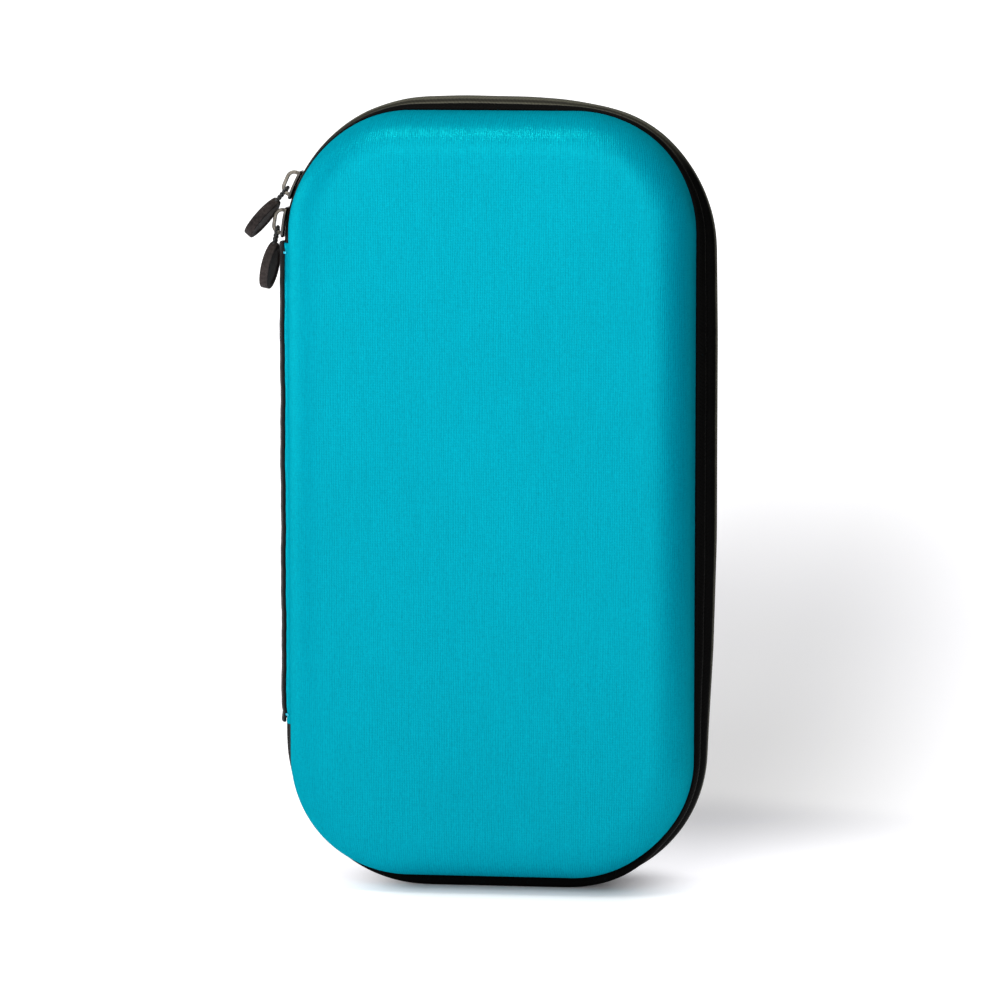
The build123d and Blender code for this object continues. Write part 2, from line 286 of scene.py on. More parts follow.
def capsule(a, b, radius, sides=8, flat=1.0, flat_axis=None):
    """Rings of a short rounded thread from a to b."""
    a, b = np.asarray(a, float), np.asarray(b, float)
    steps = [(0.0, 0.25), (0.03, 0.62), (0.10, 0.9), (0.24, 1.0), (0.5, 1.05), (0.76, 1.0), (0.90, 0.9), (0.97, 0.62), (1.0, 0.25)]
    pts = [a + (b - a) * t for t, _ in steps]
    rings = tube(pts, np.array([radius * k for _, k in steps]), sides)
    if flat_axis is not None:
        ax = np.asarray(flat_axis, float)
        ax /= np.linalg.norm(ax)
        rings = [r - np.outer((r - c) @ ax, ax) * (1 - flat) for r, c in zip(rings, pts)]
    return rings


def many(name, groups, **more):
    """One object from several closed tubes, each a list of rings."""
    verts, faces, base = [], [], 0
    for rings in groups:
        verts.append(np.concatenate(rings))
        faces += [tuple(base + i for i in f) for f in strip(rings)]
        base += len(verts[-1])
    return build(name, np.concatenate(verts), faces, **more)


def rounded_box(hw, hh, r, n=4):
    """Rounded rectangle about 0,0, as (a, b) points."""
    out = []
    for cx, cy, start in ((hw - r, hh - r, 0), (-hw + r, hh - r, 90), (-hw + r, -hh + r, 180), (hw - r, -hh + r, 270)):
        for i in range(n + 1):
            t = math.radians(start + 90 * i / n)
            out.append((cx + r * math.cos(t), cy + r * math.sin(t)))
    return np.array(out)


def dress(ob, material, slot, body, *nodes):
    ob.data.materials.clear()
    ob.data.materials.append(material)
    if nodes:
        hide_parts(*nodes)
    if body:
        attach(ob, body)
    return ob


# ------------------------------------------------------------------ materials
def mixed(a, b, t):
    return tuple(x + (y - x) * t for x, y in zip(a, b))


class Nodes:
    """Short forms for the node trees below."""

    def __init__(self, name):
        self.mat = bpy.data.materials.new(name)
        self.mat.use_nodes = True
        self.nt = self.mat.node_tree
        self.bsdf = self.nt.nodes["Principled BSDF"]

    def new(self, kind, **props):
        n = self.nt.nodes.new(kind)
        for k, v in props.items():
            setattr(n, k, v)
        return n

    def link(self, a, b):
        self.nt.links.new(a, b)

    def put(self, value, socket):
        if hasattr(value, "is_output") or hasattr(value, "links"):
            self.link(value, socket)
        else:
            socket.default_value = value

    def math(self, op, a, b=0.0, c=None, clamp=False):
        n = self.new("ShaderNodeMath", operation=op, use_clamp=clamp)
        self.put(a, n.inputs[0])
        self.put(b, n.inputs[1])
        if c is not None:
            self.put(c, n.inputs[2])
        return n.outputs[0]

    def coords(self, uv=True):
        """Metres along and across the cloth, or the object's own axes."""
        if uv:
            n = self.new("ShaderNodeUVMap", uv_map="UVMap")
            return n.outputs[0]
        return self.new("ShaderNodeTexCoord").outputs["Object"]

    def split(self, v):
        n = self.new("ShaderNodeSeparateXYZ")
        self.link(v, n.inputs[0])
        return n.outputs

    def join(self, x, y, z=0.0):
        n = self.new("ShaderNodeCombineXYZ")
        for value, socket in zip((x, y, z), n.inputs):
            self.put(value, socket)
        return n.outputs[0]

    def scaled(self, v, x, y, z=1.0):
        n = self.new("ShaderNodeMapping")
        self.link(v, n.inputs["Vector"])
        n.inputs["Scale"].default_value = (x, y, z)
        return n.outputs[0]

    def noise(self, v, scale, detail=2.0, rough=0.5):
        n = self.new("ShaderNodeTexNoise")
        self.link(v, n.inputs["Vector"])
        n.inputs["Scale"].default_value = scale
        n.inputs["Detail"].default_value = detail
        n.inputs["Roughness"].default_value = rough
        return n.outputs["Fac"]

    def cells(self, v, scale):
        n = self.new("ShaderNodeTexVoronoi")
        self.link(v, n.inputs["Vector"])
        n.inputs["Scale"].default_value = scale
        return n.outputs["Distance"]

    def ramp(self, fac, stops):
        n = self.new("ShaderNodeValToRGB")
        self.link(fac, n.inputs[0])
        el = n.color_ramp.elements
        while len(el) > len(stops):
            el.remove(el[-1])
        while len(el) < len(stops):
            el.new(0.5)
        for e, (pos, col) in zip(el, stops):
            e.position = pos
            e.color = (*col, 1.0) if len(col) == 3 else col
        return n.outputs[0]

    def bump(self, height, distance, strength=1.0, normal=None):
        n = self.new("ShaderNodeBump")
        n.inputs["Strength"].default_value = strength
        n.inputs["Distance"].default_value = distance
        self.link(height, n.inputs["Height"])
        if normal is not None:
            self.link(normal, n.inputs["Normal"])
        return n.outputs[0]

    def set(self, **values):
        for k, v in values.items():
            self.put(v, self.bsdf.inputs[k.replace("_", " ")])
        return self


def knit(name, base, dark, light, rough, sheen, tint, spec, rib=0.80, row=0.86, depth=0.00016, gloss=0.0):
    """Fine warp knit: columns of loops that run up the case, uneven in tone."""
    m = Nodes(name)
    uv = m.coords()
    u, v, _ = m.split(uv)
    wander = m.math("MULTIPLY", m.math("SUBTRACT", m.noise(m.scaled(uv, 110, 26), 1.0, 3), 0.5), 0.0022)
    uu = m.math("ADD", u, wander)
    col = m.math("MULTIPLY", uu, 1000.0 / rib)
    tri = m.math("PINGPONG", col, 0.5)                       # 0 in the groove, .5 on the column
    ridge = m.math("SINE", m.math("MULTIPLY", tri, math.pi))
    slip = m.math("MULTIPLY", m.noise(m.scaled(uv, 420, 160), 1.0, 2), 9.0)
    vee = m.math("ADD", m.math("ADD", m.math("MULTIPLY", v, 2000 * math.pi / row), slip), m.math("MULTIPLY", tri, 5.2))
    loops = m.math("MULTIPLY_ADD", m.math("SINE", vee), 0.5, 0.5)
    fuzz = m.noise(m.scaled(uv, 3300, 2300), 1.0, 2, 0.6)
    height = m.math("ADD", m.math("MULTIPLY", ridge, 0.46), m.math("ADD", m.math("MULTIPLY", loops, 0.16), m.math("MULTIPLY", fuzz, 0.95)))
    streak = m.noise(m.scaled(uv, 900, 75), 1.0, 3, 0.65)
    patch = m.noise(m.scaled(uv, 17, 12), 1.0, 2, 0.5)
    grain = m.noise(m.scaled(uv, 1700, 620), 1.0, 2, 0.7)
    tone = m.math("ADD", m.math("ADD", m.math("MULTIPLY", streak, 0.22), m.math("MULTIPLY", grain, 0.40)),
                  m.math("ADD", m.math("MULTIPLY", patch, 0.12), m.math("MULTIPLY", height, 0.28)))
    colour = m.ramp(tone, [(0.36, dark), (0.54, base), (0.74, light)])
    m.link(colour, m.bsdf.inputs["Base Color"])
    m.link(m.bump(height, depth), m.bsdf.inputs["Normal"])
    m.link(m.math("MULTIPLY_ADD", fuzz, 0.16, rough - 0.08), m.bsdf.inputs["Roughness"])
    m.set(Sheen_Weight=sheen, Sheen_Roughness=0.45, Specular_IOR_Level=spec)
    m.bsdf.inputs["Sheen Tint"].default_value = (*tint, 1)
    m.bsdf.inputs["Specular Tint"].default_value = (*tint, 1)
    if gloss:
        lustre = m.new("ShaderNodeBsdfGlossy")
        lustre.inputs["Color"].default_value = (*tint, 1)
        lustre.inputs["Roughness"].default_value = 0.27
        m.link(m.bump(height, depth * 0.6), lustre.inputs["Normal"])
        both = m.new("ShaderNodeMixShader")
        both.inputs[0].default_value = gloss
        m.link(m.bsdf.outputs[0], both.inputs[1])
        m.link(lustre.outputs[0], both.inputs[2])
        m.link(both.outputs[0], m.nt.nodes["Material Output"].inputs["Surface"])
    return m.mat


# the bright knit has a little lustre in its own colour
turquoise_knit = knit("turquoise_knit", (0.0, 0.186, 0.270), (0.0, 0.136, 0.203), (0.0, 0.242, 0.339), 0.55, 0.04, (0.012, 0.95, 0.98), 0.0, gloss=0.07)
black_knit = knit("black_knit", (0.0080, 0.0078, 0.0080), (0.004, 0.004, 0.004), (0.015, 0.015, 0.0155), 0.60, 0.06, (0.75, 0.75, 0.78), 0.10)
lining_knit = knit("lining_knit", (0.015, 0.015, 0.017), (0.010, 0.010, 0.011), (0.024, 0.024, 0.026), 0.78, 0.45, (0.8, 0.8, 0.85), 0.25, rib=0.9, row=0.8)


def woven(name, base, dark, rough, sheen, tint, pitch=0.62, depth=0.00008, spec=0.4, twill=True, sheen_rough=0.4, crest=None):
    """Narrow woven tape: short floats that step sideways row by row; crest is a paler colour painted on its outer edge
    as painted sheen, with a second ridge beside it painted paler only on the case's top as a painted highlight from
    the light above."""
    m = Nodes(name)
    uv = m.coords()
    u, v, _ = m.split(uv)
    a = m.math("MULTIPLY", u, 1000.0 / pitch)
    b = m.math("MULTIPLY", v, 1000.0 / pitch)
    if twill:
        zig = m.math("PINGPONG", m.math("MULTIPLY", b, 0.5), 1.5)
        float_ = m.math("SINE", m.math("MULTIPLY", m.math("ADD", a, m.math("MULTIPLY", zig, 1.4)), 2 * math.pi * 0.5))
    else:
        float_ = m.math("MULTIPLY", m.math("SINE", m.math("MULTIPLY", a, math.pi)), m.math("SINE", m.math("MULTIPLY", b, math.pi)))
    ends = m.math("SINE", m.math("MULTIPLY", b, 2 * math.pi))
    fuzz = m.noise(m.scaled(uv, 4000, 4000), 1.0, 2, 0.6)
    height = m.math("ADD", m.math("MULTIPLY", float_, 0.4), m.math("ADD", m.math("MULTIPLY", ends, 0.2), m.math("MULTIPLY", fuzz, 0.5)))
    worn = m.noise(m.scaled(uv, 90, 40), 1.0, 3, 0.6)
    tone = m.math("ADD", m.math("MULTIPLY", m.math("MULTIPLY_ADD", height, 0.5, 0.4), 0.55), m.math("MULTIPLY", worn, 0.45))
    colour = m.ramp(tone, [(0.2, dark), (0.75, base)])
    if crest:
        def eased_step(value, low, high):
            n = m.new("ShaderNodeMapRange", interpolation_type="SMOOTHSTEP")
            m.put(value, n.inputs["Value"])
            n.inputs["From Min"].default_value, n.inputs["From Max"].default_value = low, high
            return n.outputs["Result"]

        # painted sheen: the crest colour stands in for light catching the tape's outer edge
        blend = m.new("ShaderNodeMix", data_type="RGBA")
        frayed = m.math("ADD", v, m.math("MULTIPLY", m.math("SUBTRACT", worn, 0.5), 0.0006))
        edge = eased_step(frayed, 0.0009, 0.0019)
        second = m.math("ADD", m.math("MULTIPLY", eased_step(frayed, -0.0035, -0.0029), eased_step(frayed, -0.0008, -0.0015)),
                        m.math("MULTIPLY", eased_step(frayed, -0.0006, 0.0004), 1.0))
        second = m.math("MAXIMUM", second, m.math("MULTIPLY", eased_step(frayed, -0.0022, -0.0016), 0.30))
        # painted highlight: the second ridge is paler only on the case's top, where the light from above falls
        top = eased_step(m.split(m.coords(False))[2], 0.244, 0.262)
        pale = m.math("MAXIMUM", edge, m.math("MULTIPLY", second, top))
        m.link(m.math("MULTIPLY", pale, eased_step(v, 0.0029, 0.0022)), blend.inputs["Factor"])
        m.link(colour, blend.inputs["A"])
        m.link(m.ramp(tone, [(0.2, mixed(crest, (0, 0, 0), 0.45)), (0.75, crest)]), blend.inputs["B"])
        colour = blend.outputs["Result"]
    m.link(colour, m.bsdf.inputs["Base Color"])
    m.link(m.bump(height, depth), m.bsdf.inputs["Normal"])
    m.link(m.math("MULTIPLY_ADD", worn, 0.2, rough - 0.1), m.bsdf.inputs["Roughness"])
    m.set(Sheen_Weight=sheen, Sheen_Roughness=sheen_rough, Specular_IOR_Level=spec)
    m.bsdf.inputs["Sheen Tint"].default_value = (*tint, 1)
    return m.mat


# the crest colour is painted sheen on the tape's edge and a painted highlight on its top ridge
zip_tape = woven("zip_tape", (0.0020, 0.0019, 0.0018), (0.0008, 0.0008, 0.0007), 0.55, 0.03, (0.95, 1.0, 0.80), spec=0.03, depth=0.00005, sheen_rough=0.2,
                 crest=(0.090, 0.088, 0.068))
binding = woven("binding", (0.018, 0.018, 0.019), (0.008, 0.008, 0.009), 0.62, 0.40, (0.9, 0.9, 0.95), pitch=0.5)
elastic = woven("elastic", (0.020, 0.020, 0.022), (0.009, 0.009, 0.010), 0.60, 0.35, (0.9, 0.9, 0.95), pitch=0.8, twill=False)
net_yarn = woven("pocket_net", (0.017, 0.017, 0.018), (0.008, 0.008, 0.009), 0.60, 0.35, (0.9, 0.9, 0.95), pitch=0.35, depth=0.00004, twill=False)


def yarn(name, base, dark, rough, sheen, tint, scale=3000):
    """Twisted thread or cord seen close: fine slanting fibres."""
    m = Nodes(name)
    o = m.coords(False)
    x, y, z = m.split(o)
    slant = m.math("SINE", m.math("MULTIPLY", m.math("ADD", m.math("ADD", x, y), m.math("MULTIPLY", z, 1.3)), scale * 2.2))
    fuzz = m.noise(o, scale, 3, 0.6)
    height = m.math("ADD", m.math("MULTIPLY", slant, 0.25), fuzz)
    m.link(m.ramp(fuzz, [(0.3, dark), (0.7, base)]), m.bsdf.inputs["Base Color"])
    m.link(m.bump(height, 0.00005), m.bsdf.inputs["Normal"])
    m.link(m.math("MULTIPLY_ADD", fuzz, 0.2, rough - 0.1), m.bsdf.inputs["Roughness"])
    m.set(Sheen_Weight=sheen, Sheen_Roughness=0.4, Specular_IOR_Level=0.5)
    m.bsdf.inputs["Sheen Tint"].default_value = (*tint, 1)
    return m.mat


pull_cord_mat = yarn("pull_cord", (0.013, 0.012, 0.012), (0.006, 0.006, 0.006), 0.45, 0.25, (1, 0.95, 0.9))
black_thread = yarn("black_thread", (0.016, 0.016, 0.017), (0.008, 0.008, 0.008), 0.5, 0.3, (0.9, 0.9, 0.95), 5000)
turquoise_thread = yarn("turquoise_thread", (0.02, 0.50, 0.66), (0.0, 0.38, 0.54), 0.38, 0.3, (0.3, 0.95, 1.0), 5000)


def plain(name, base, other, rough, scale, depth, metallic=0.0, spec=0.5, spread=(0.35, 0.65), rough_spread=0.12, scratch=0.0):
    """Moulded or cast surface with a fine grain and uneven tone."""
    m = Nodes(name)
    o = m.coords(False)
    fine = m.noise(o, scale, 3, 0.6)
    broad = m.noise(o, scale * 0.09, 3, 0.55)
    tone = m.math("ADD", m.math("MULTIPLY", fine, 0.45), m.math("MULTIPLY", broad, 0.55))
    m.link(m.ramp(tone, [(spread[0], base), (spread[1], other)]), m.bsdf.inputs["Base Color"])
    height = fine
    if scratch:
        lines = m.noise(m.scaled(o, 700, 9000, 900), 1.0, 2, 0.5)
        height = m.math("ADD", fine, m.math("MULTIPLY", lines, scratch))
    m.link(m.bump(height, depth), m.bsdf.inputs["Normal"])
    m.link(m.math("MULTIPLY_ADD", broad, rough_spread, rough - rough_spread / 2), m.bsdf.inputs["Roughness"])
    m.set(Specular_IOR_Level=spec, Metallic=metallic)
    return m.mat


foam = plain("foam", (0.020, 0.020, 0.022), (0.035, 0.035, 0.037), 0.85, 2600, 0.00012, spec=0.25)
zip_coil_mat = plain("zip_coil", (0.010, 0.010, 0.011), (0.018, 0.018, 0.019), 0.34, 1800, 0.00001, spec=0.5)
pull_rubber = plain("pull_rubber", (0.009, 0.0072, 0.0070), (0.044, 0.035, 0.033), 0.60, 1100, 0.00010, spec=0.05, rough_spread=0.2, spread=(0.38, 0.66))
slider_metal = plain("slider_metal", (0.045, 0.041, 0.037), (0.09, 0.083, 0.076), 0.36, 1500, 0.00002, metallic=1.0, scratch=0.3)
bright_metal = plain("bright_metal", (0.060, 0.054, 0.046), (0.185, 0.167, 0.142), 0.32, 900, 0.00002, metallic=1.0, rough_spread=0.16, scratch=0.25)

# ------------------------------------------------------------------ shells
HALF = N // 2
mid_z = {}
for j in range(N):
    k = j if j <= HALF else N - j
    mid_z[j] = float(np.clip(S_CAD[k, 1], SHELL_Z0 + 69, SHELL_Z1 - 69))


def profile(k):
    """Inset and depth of a shell surface k mm below the outer one, from its rim to the end of the rounding."""
    r = FILLET - k
    centre = k + (r + 5.0 * math.sin(DRAFT)) / math.cos(DRAFT)
    lip = 0.14 if k == 0 else 0.0
    pts = [(k, RIM_Y), (k - lip * 0.3, 6.8), (k - lip * 0.8, 8.2), (k - lip, 9.0), (k - lip * 0.7, 9.8), (k + 0.06, 11.2), (k + 0.22, 12.9)]
    steps = 16
    for i in range(steps + 1):
        t = DRAFT + (math.pi / 2 - DRAFT) * i / steps
        pts.append((centre - r * math.cos(t), FACE_Y - FILLET + r * math.sin(t)))
    return pts, centre


def crown_of(e):
    return 0.8 * (3 * e * e - 2 * e ** 3)


def shell(name, k_out, k_in, side):
    """Closed moulded dish between two surfaces of the wall."""
    verts, uvs, faces = [], [], []
    rings = []

    def add_ring(points, uv):
        ids = list(range(len(verts), len(verts) + N))
        verts.extend(points)
        uvs.extend(uv)
        rings.append(ids)

    def add_middle(y):
        ids, seen = [], {}
        for j in range(N):
            z = round(mid_z[j], 4)
            if z not in seen:
                seen[z] = len(verts)
                verts.append((SHELL_X, side * y, z))
                uvs.append((SHELL_X, z))
            ids.append(seen[z])
        rings.append(ids)

    def face_rings(k, order):
        pts, centre = profile(k)
        edge = S - NRM * centre
        mid = np.array([(SHELL_X, mid_z[j]) for j in range(N)])
        es = [1.0, 0.82, 0.64, 0.47, 0.32, 0.19, 0.09]
        for e in (es if order > 0 else es[::-1]):
            y = FACE_Y - k + crown_of(e)
            if e == 1.0:
                add_middle(y)
            else:
                q = edge + (mid - edge) * e
                add_ring([(x, side * y, z) for x, z in q], [tuple(p) for p in q])

    def wall_rings(k, order):
        pts, centre = profile(k)
        dev, last, out = 0.0, (centre, FACE_Y - k), []
        for p in reversed(pts):
            dev += math.dist(p, last)
            last = p
            out.append((p, dev))
        for (d, y), a in (out if order > 0 else out[::-1]):
            q = S - NRM * d
            w = S - NRM * centre + NRM * a
            add_ring([(x, side * y, z) for x, z in q], [tuple(p) for p in w])

    face_rings(k_out, 1)
    wall_rings(k_out, 1)
    wall_rings(k_in, -1)
    face_rings(k_in, -1)
    for a, b in zip(rings, rings[1:]):
        for j in range(N):
            l = (j + 1) % N
            f = []
            for v in (a[j], a[l], b[l], b[j]):
                if v not in f:
                    f.append(v)
            if len(f) >= 3:
                faces.append(tuple(f))
    # the two sides of the middle line share vertices, so the few faces that fold onto each other go
    unique, seen = [], set()
    for f in faces:
        key = frozenset(f)
        if key not in seen:
            seen.add(key)
            unique.append(f)
    return build(name, verts, unique, uvs)


for side, tag, skin_mat, skin_slot, body in ((-1, "front", turquoise_knit, "turquoise_knit", "lid"), (1, "rear", black_knit, "black_knit", "base")):
    dress(shell(f"{tag}_skin_cloth", 0.0, 0.56, side), skin_mat, skin_slot, body, f"{tag}_fabric_skin")
    dress(shell(f"{tag}_foam_wall", 0.6, 4.16, side), foam, "foam", body, f"{tag}_eva_shell")
    dress(shell(f"{tag}_lining_cloth", 4.2, WALL, side), lining_knit, "lining_knit", body, f"{tag}_lining")


# ------------------------------------------------------------------ zip band
def arc_angle(p):
    """Angle of a point about the top left corner's centre, 0 level to the left."""
    return np.degrees(np.arctan2(p[..., 1] - ARC_Z, -(p[..., 0] - ARC_X)))


def parted(p):
    """1 where the sliders hold the two tapes apart, 0 elsewhere."""
    a = arc_angle(p)
    near = (p[..., 0] < ARC_X) & (p[..., 1] > ARC_Z - 12)
    return np.where(near, smooth(a, 7.9, 9.3) * (1 - smooth(a, 23.3, 24.7)), 0.0)


# outer face of a tape, from the shell out to the slit: height over the shell wall as a share of
# the overhang, a fixed height in mm, and the distance from the parting plane
TAPE_OUT = [
    (0.00, -0.35, 8.05), (0.04, 0.10, 8.30), (0.10, 0.30, 8.35), (0.20, 0.20, 8.05), (0.34, 0.15, 7.55), (0.43, 0.15, 7.0), (0.475, 0.12, 6.5),
    (0.48, 0.12, 6.0), (0.46, 0.06, 5.5), (0.435, -0.02, 5.1), (0.43, -0.08, 4.75), (0.47, -0.06, 4.4), (0.56, 0.0, 4.0), (0.68, 0.0, 3.55),
    (0.80, 0.0, 3.05), (0.885, 0.0, 2.5), (0.94, 0.0, 1.95), (0.975, 0.0, 1.4), (0.995, 0.0, 0.9), (1.00, 0.0, 0.5), (0.99, -0.04, 0.25), (0.97, -0.22, 0.13),
]
TAPE_IN = [
    (1.0, -0.90, 0.13), (1.0, -0.98, 0.4), (0.97, -0.98, 1.2), (0.93, -0.95, 1.9), (0.85, -0.95, 2.6), (0.72, -0.90, 3.2), (0.52, -0.75, 3.9),
    (0.36, -0.70, 4.5), (0.30, -0.80, 5.0), (0.26, -0.75, 5.6), (0.20, -0.75, 6.4), (0.08, -0.55, 7.2), (0.0, -0.45, 7.7),
]


def tape_ring(s, side):
    p, n, d = at(s)
    low = float(smooth(-n[1], 0.62, 0.985))
    crest = p + n * d
    part = float(parted(crest))
    wob = 0.05 * math.sin(s * 0.21) + 0.04 * math.sin(s * 0.083 + 1.7)
    ring = []
    for kind, rows in ((0, TAPE_OUT), (1, TAPE_IN)):
        for f, h, y in rows:
            height = f * d + h
            if y > 4.1 and low > 0:
                level = d - (0.02 if kind == 0 else 0.9)
                if y > 7.6 and kind == 0:
                    level -= (y - 7.6) * 0.9 * max(0.0, (y - 7.6)) * 1.4
                if f > 0.02:
                    height = height + (level - height) * low * (1.0 if f > 0.08 else 0.6)
            elif y > 2 and low > 0 and kind == 0:
                height = height + (d - 0.02 - height) * low * 0.85
            if y < 3.2:
                y = max(y, y + (1.62 - y) * part) if y < 1.62 else y
            if 4.0 < y < 8 and kind == 0:
                height += wob * (1 - low)
            q = p + n * min(height, d)
            ring.append((q[0], side * y, q[1]))
    return ring


def swept(name, spots, ring_at, closed=False, zero=0):
    """A section carried round the shell; v is measured across it from the section's point number zero."""
    rings, uvs = [], []
    for s in spots:
        ring = np.array(ring_at(s), float)
        across = np.concatenate([[0], np.cumsum(np.linalg.norm(np.diff(ring, axis=0), axis=1))])
        across -= across[zero]
        rings.append(ring)
        uvs.append(np.stack([np.full(len(ring), s), across], axis=1))
    return lofted(name, rings, closed_path=closed, uvs=uvs)


corner = [s for s in np.arange(ZIP_END - 50, ZIP_END, 0.6) if float(parted(at(s)[0] + at(s)[1] * at(s)[2])) > 0]
spots = sorted(set(np.round(np.concatenate([np.arange(ZIP_START, ZIP_END, 1.5), corner, [ZIP_END]]), 4)))
front_tape = swept("front_tape_cloth", spots, lambda s: tape_ring(s, -1), zero=14)
rear_tape = swept("rear_tape_cloth", spots, lambda s: tape_ring(s, 1), zero=14)
dress(front_tape, zip_tape, "zip_tape", None, "front_zip_tape")
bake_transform(front_tape)
dress(rear_tape, zip_tape, "zip_tape", "base", "rear_zip_tape")


def coil(side, phase):
    """One side of the chain: a wire wound in a flattened helix on the tape's inner face."""
    pitch, per = 1.32, 10
    turns = int((ZIP_END - ZIP_START) / pitch)
    pts = []
    for i in range(turns * per):
        t = i / per
        s = ZIP_START + 0.4 + (ZIP_END - ZIP_START - 0.8) * (t / turns)
        a = 2 * math.pi * t + phase
        p, n, d = at(s)
        part = float(parted(p + n * d))
        lean = 0.22 * pitch * math.sin(a)
        p2, n2, d2 = at(s + lean)
        inner = d2 - 1.70 + 0.42 * math.sin(a)
        y = 0.76 + 1.62 * part - 0.46 * math.cos(a)
        q = p2 + n2 * inner
        pts.append((q[0], side * y, q[1]))
    return tube(pts, 0.215, 6)


front_coil = many("front_coil_wire", [coil(-1, 0.0)])
rear_coil = many("rear_coil_wire", [coil(1, math.pi)])
dress(front_coil, zip_coil_mat, "zip_coil", None, "front_zip_coil")
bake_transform(front_coil)
dress(rear_coil, zip_coil_mat, "zip_coil", "base", "rear_zip_coil")

# ------------------------------------------------------------------ rim binding and its stitches
BIND = [
    (0.10, 4.62), (0.30, 4.47), (0.9, 4.43), (2.2, 4.46), (3.8, 4.43), (4.9, 4.42), (5.30, 4.48), (5.50, 4.75), (5.50, 5.6), (5.46, 6.5),
    (5.50, 7.45), (5.50, 8.1), (5.38, 8.36), (5.10, 8.42), (4.86, 8.34), (4.76, 8.05), (4.76, 6.6), (4.78, 5.35), (4.6, 5.2), (2.5, 5.2), (0.45, 5.2), (0.14, 5.1),
]


def bind_points(s, side):
    p, n, d = at(s)
    pucker = 0.04 * math.sin(s * 2 * math.pi / 3.1)
    out = []
    for a, y in BIND:
        q = p - n * (a + (pucker if a > 5.3 and y > 5.4 else 0))
        out.append((q[0], side * y, q[1]))
    return out


for side, tag, body in ((-1, "front", "lid"), (1, "rear", "base")):
    ring = swept(f"{tag}_binding_cloth", np.arange(0, LENGTH - 0.5, 1.55), lambda s, side=side: bind_points(s, side), closed=True)
    dress(ring, binding, "binding", body, f"{tag}_rim_binding")
    groups = []
    count = int(LENGTH / 3.1)
    for i in range(count):
        s = LENGTH * i / count
        ends = []
        for t in (s + 0.35, s + 2.75):
            p, n, d = at(t)
            q = p - n * 5.62
            ends.append((q[0], side * 7.45, q[1]))
        groups.append(capsule(ends[0], ends[1], 0.17, 7))
    dress(many(f"{tag}_seam_stitches", groups), black_thread, "black_thread", body, f"{tag}_seam_thread")


# ------------------------------------------------------------------ spine
def flap(name, section, z0, z1):
    """Strip of folded cloth up the left side, a little wavy, its ends rounded over."""
    rings, uvs = [], []
    section = np.array(section, float)
    zs = np.concatenate([[z0, z0 + 0.15, z0 + 0.45], np.arange(z0 + 1.2, z1 - 1, 1.2), [z1 - 0.45, z1 - 0.15, z1]])
    for z in zs:
        end = min(z - z0, z1 - z)
        thin = 1 - 0.32 * (1 - float(smooth(end, 0, 0.5)))
        tuck = 0.30 * math.exp(-((end - 3.2) / 1.3) ** 2)
        wave = 0.09 * math.sin(z * 0.155 + 0.8) + 0.06 * math.sin(z * 0.41 + 2.0) + 0.03 * math.sin(z * 1.3)
        out = smooth(-section[:, 0], 71.0, 72.8)
        ring = np.column_stack([section[:, 0] + out * (wave + tuck), section[:, 1] + out * 0.05 * np.sin(z * 0.27 + section[:, 0]), np.full(len(section), z)])
        if thin < 1:
            # the cloth's thickness is pinched at its cut end
            mate = ring[::-1].copy()
            ring[:, :2] = ring[:, :2] * (0.5 + thin / 2) + mate[:, :2] * (0.5 - thin / 2)
        acr = np.concatenate([[0], np.cumsum(np.linalg.norm(np.diff(ring[:, :2], axis=0), axis=1))])
        rings.append(ring)
        uvs.append(np.stack([acr, np.full(len(ring), z)], axis=1))
    return lofted(name, rings, uvs=uvs)


def thick_line(line, t_in):
    """Closed section that runs along a polyline and back, t_in thick towards the line's left, ends rounded.
    Point i and point -1-i face each other across the cloth."""
    line = np.array(line, float)
    d = np.gradient(line, axis=0)
    d /= np.linalg.norm(d, axis=1)[:, None]
    n = np.stack([-d[:, 1], d[:, 0]], axis=1)
    a = line.copy()
    b = line + n * t_in
    mid = line + n * t_in / 2
    for end, sign in ((0, -1), (-1, 1)):
        a[end] = mid[end] + (a[end] - mid[end]) * 0.55
        b[end] = mid[end] + (b[end] - mid[end]) * 0.55
    return np.vstack([a, b[::-1]])


def eased(points, step=0.35, passes=3):
    """Polyline resampled and softened, ends kept."""
    p = np.array(points, float)
    s = np.concatenate([[0], np.cumsum(np.linalg.norm(np.diff(p, axis=0), axis=1))])
    n = int(s[-1] / step) + 1
    t = np.linspace(0, s[-1], n)
    q = np.stack([np.interp(t, s, p[:, 0]), np.interp(t, s, p[:, 1])], axis=1)
    for _ in range(passes):
        q[1:-1] = (q[:-2] + 2 * q[1:-1] + q[2:]) / 4
    return q


# turquoise flap: from the shell's wall out over the band's step to the parting side
front_line = eased([(-70.42, -9.72), (-71.2, -9.45), (-71.95, -8.85), (-72.4, -8.0), (-72.65, -6.6), (-72.7, -5.55)])
rear_line = eased([(-70.42, 9.72), (-71.2, 9.5), (-72.6, 8.55), (-74.45, 6.6), (-75.3, 4.4), (-75.4, 2.0), (-75.25, -1.0), (-74.9, -3.4), (-73.9, -5.3)])
front_flap = flap("spine_front_cloth", thick_line(front_line, -1.12), SPINE_Z0, SPINE_Z1)
rear_flap = flap("spine_rear_cloth", thick_line(rear_line, 1.12), SPINE_Z0, SPINE_Z1)
dress(front_flap, turquoise_knit, "turquoise_knit", None, "spine_front_flap")
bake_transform(front_flap)
dress(rear_flap, black_knit, "black_knit", None, "spine_rear_flap")
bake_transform(rear_flap)


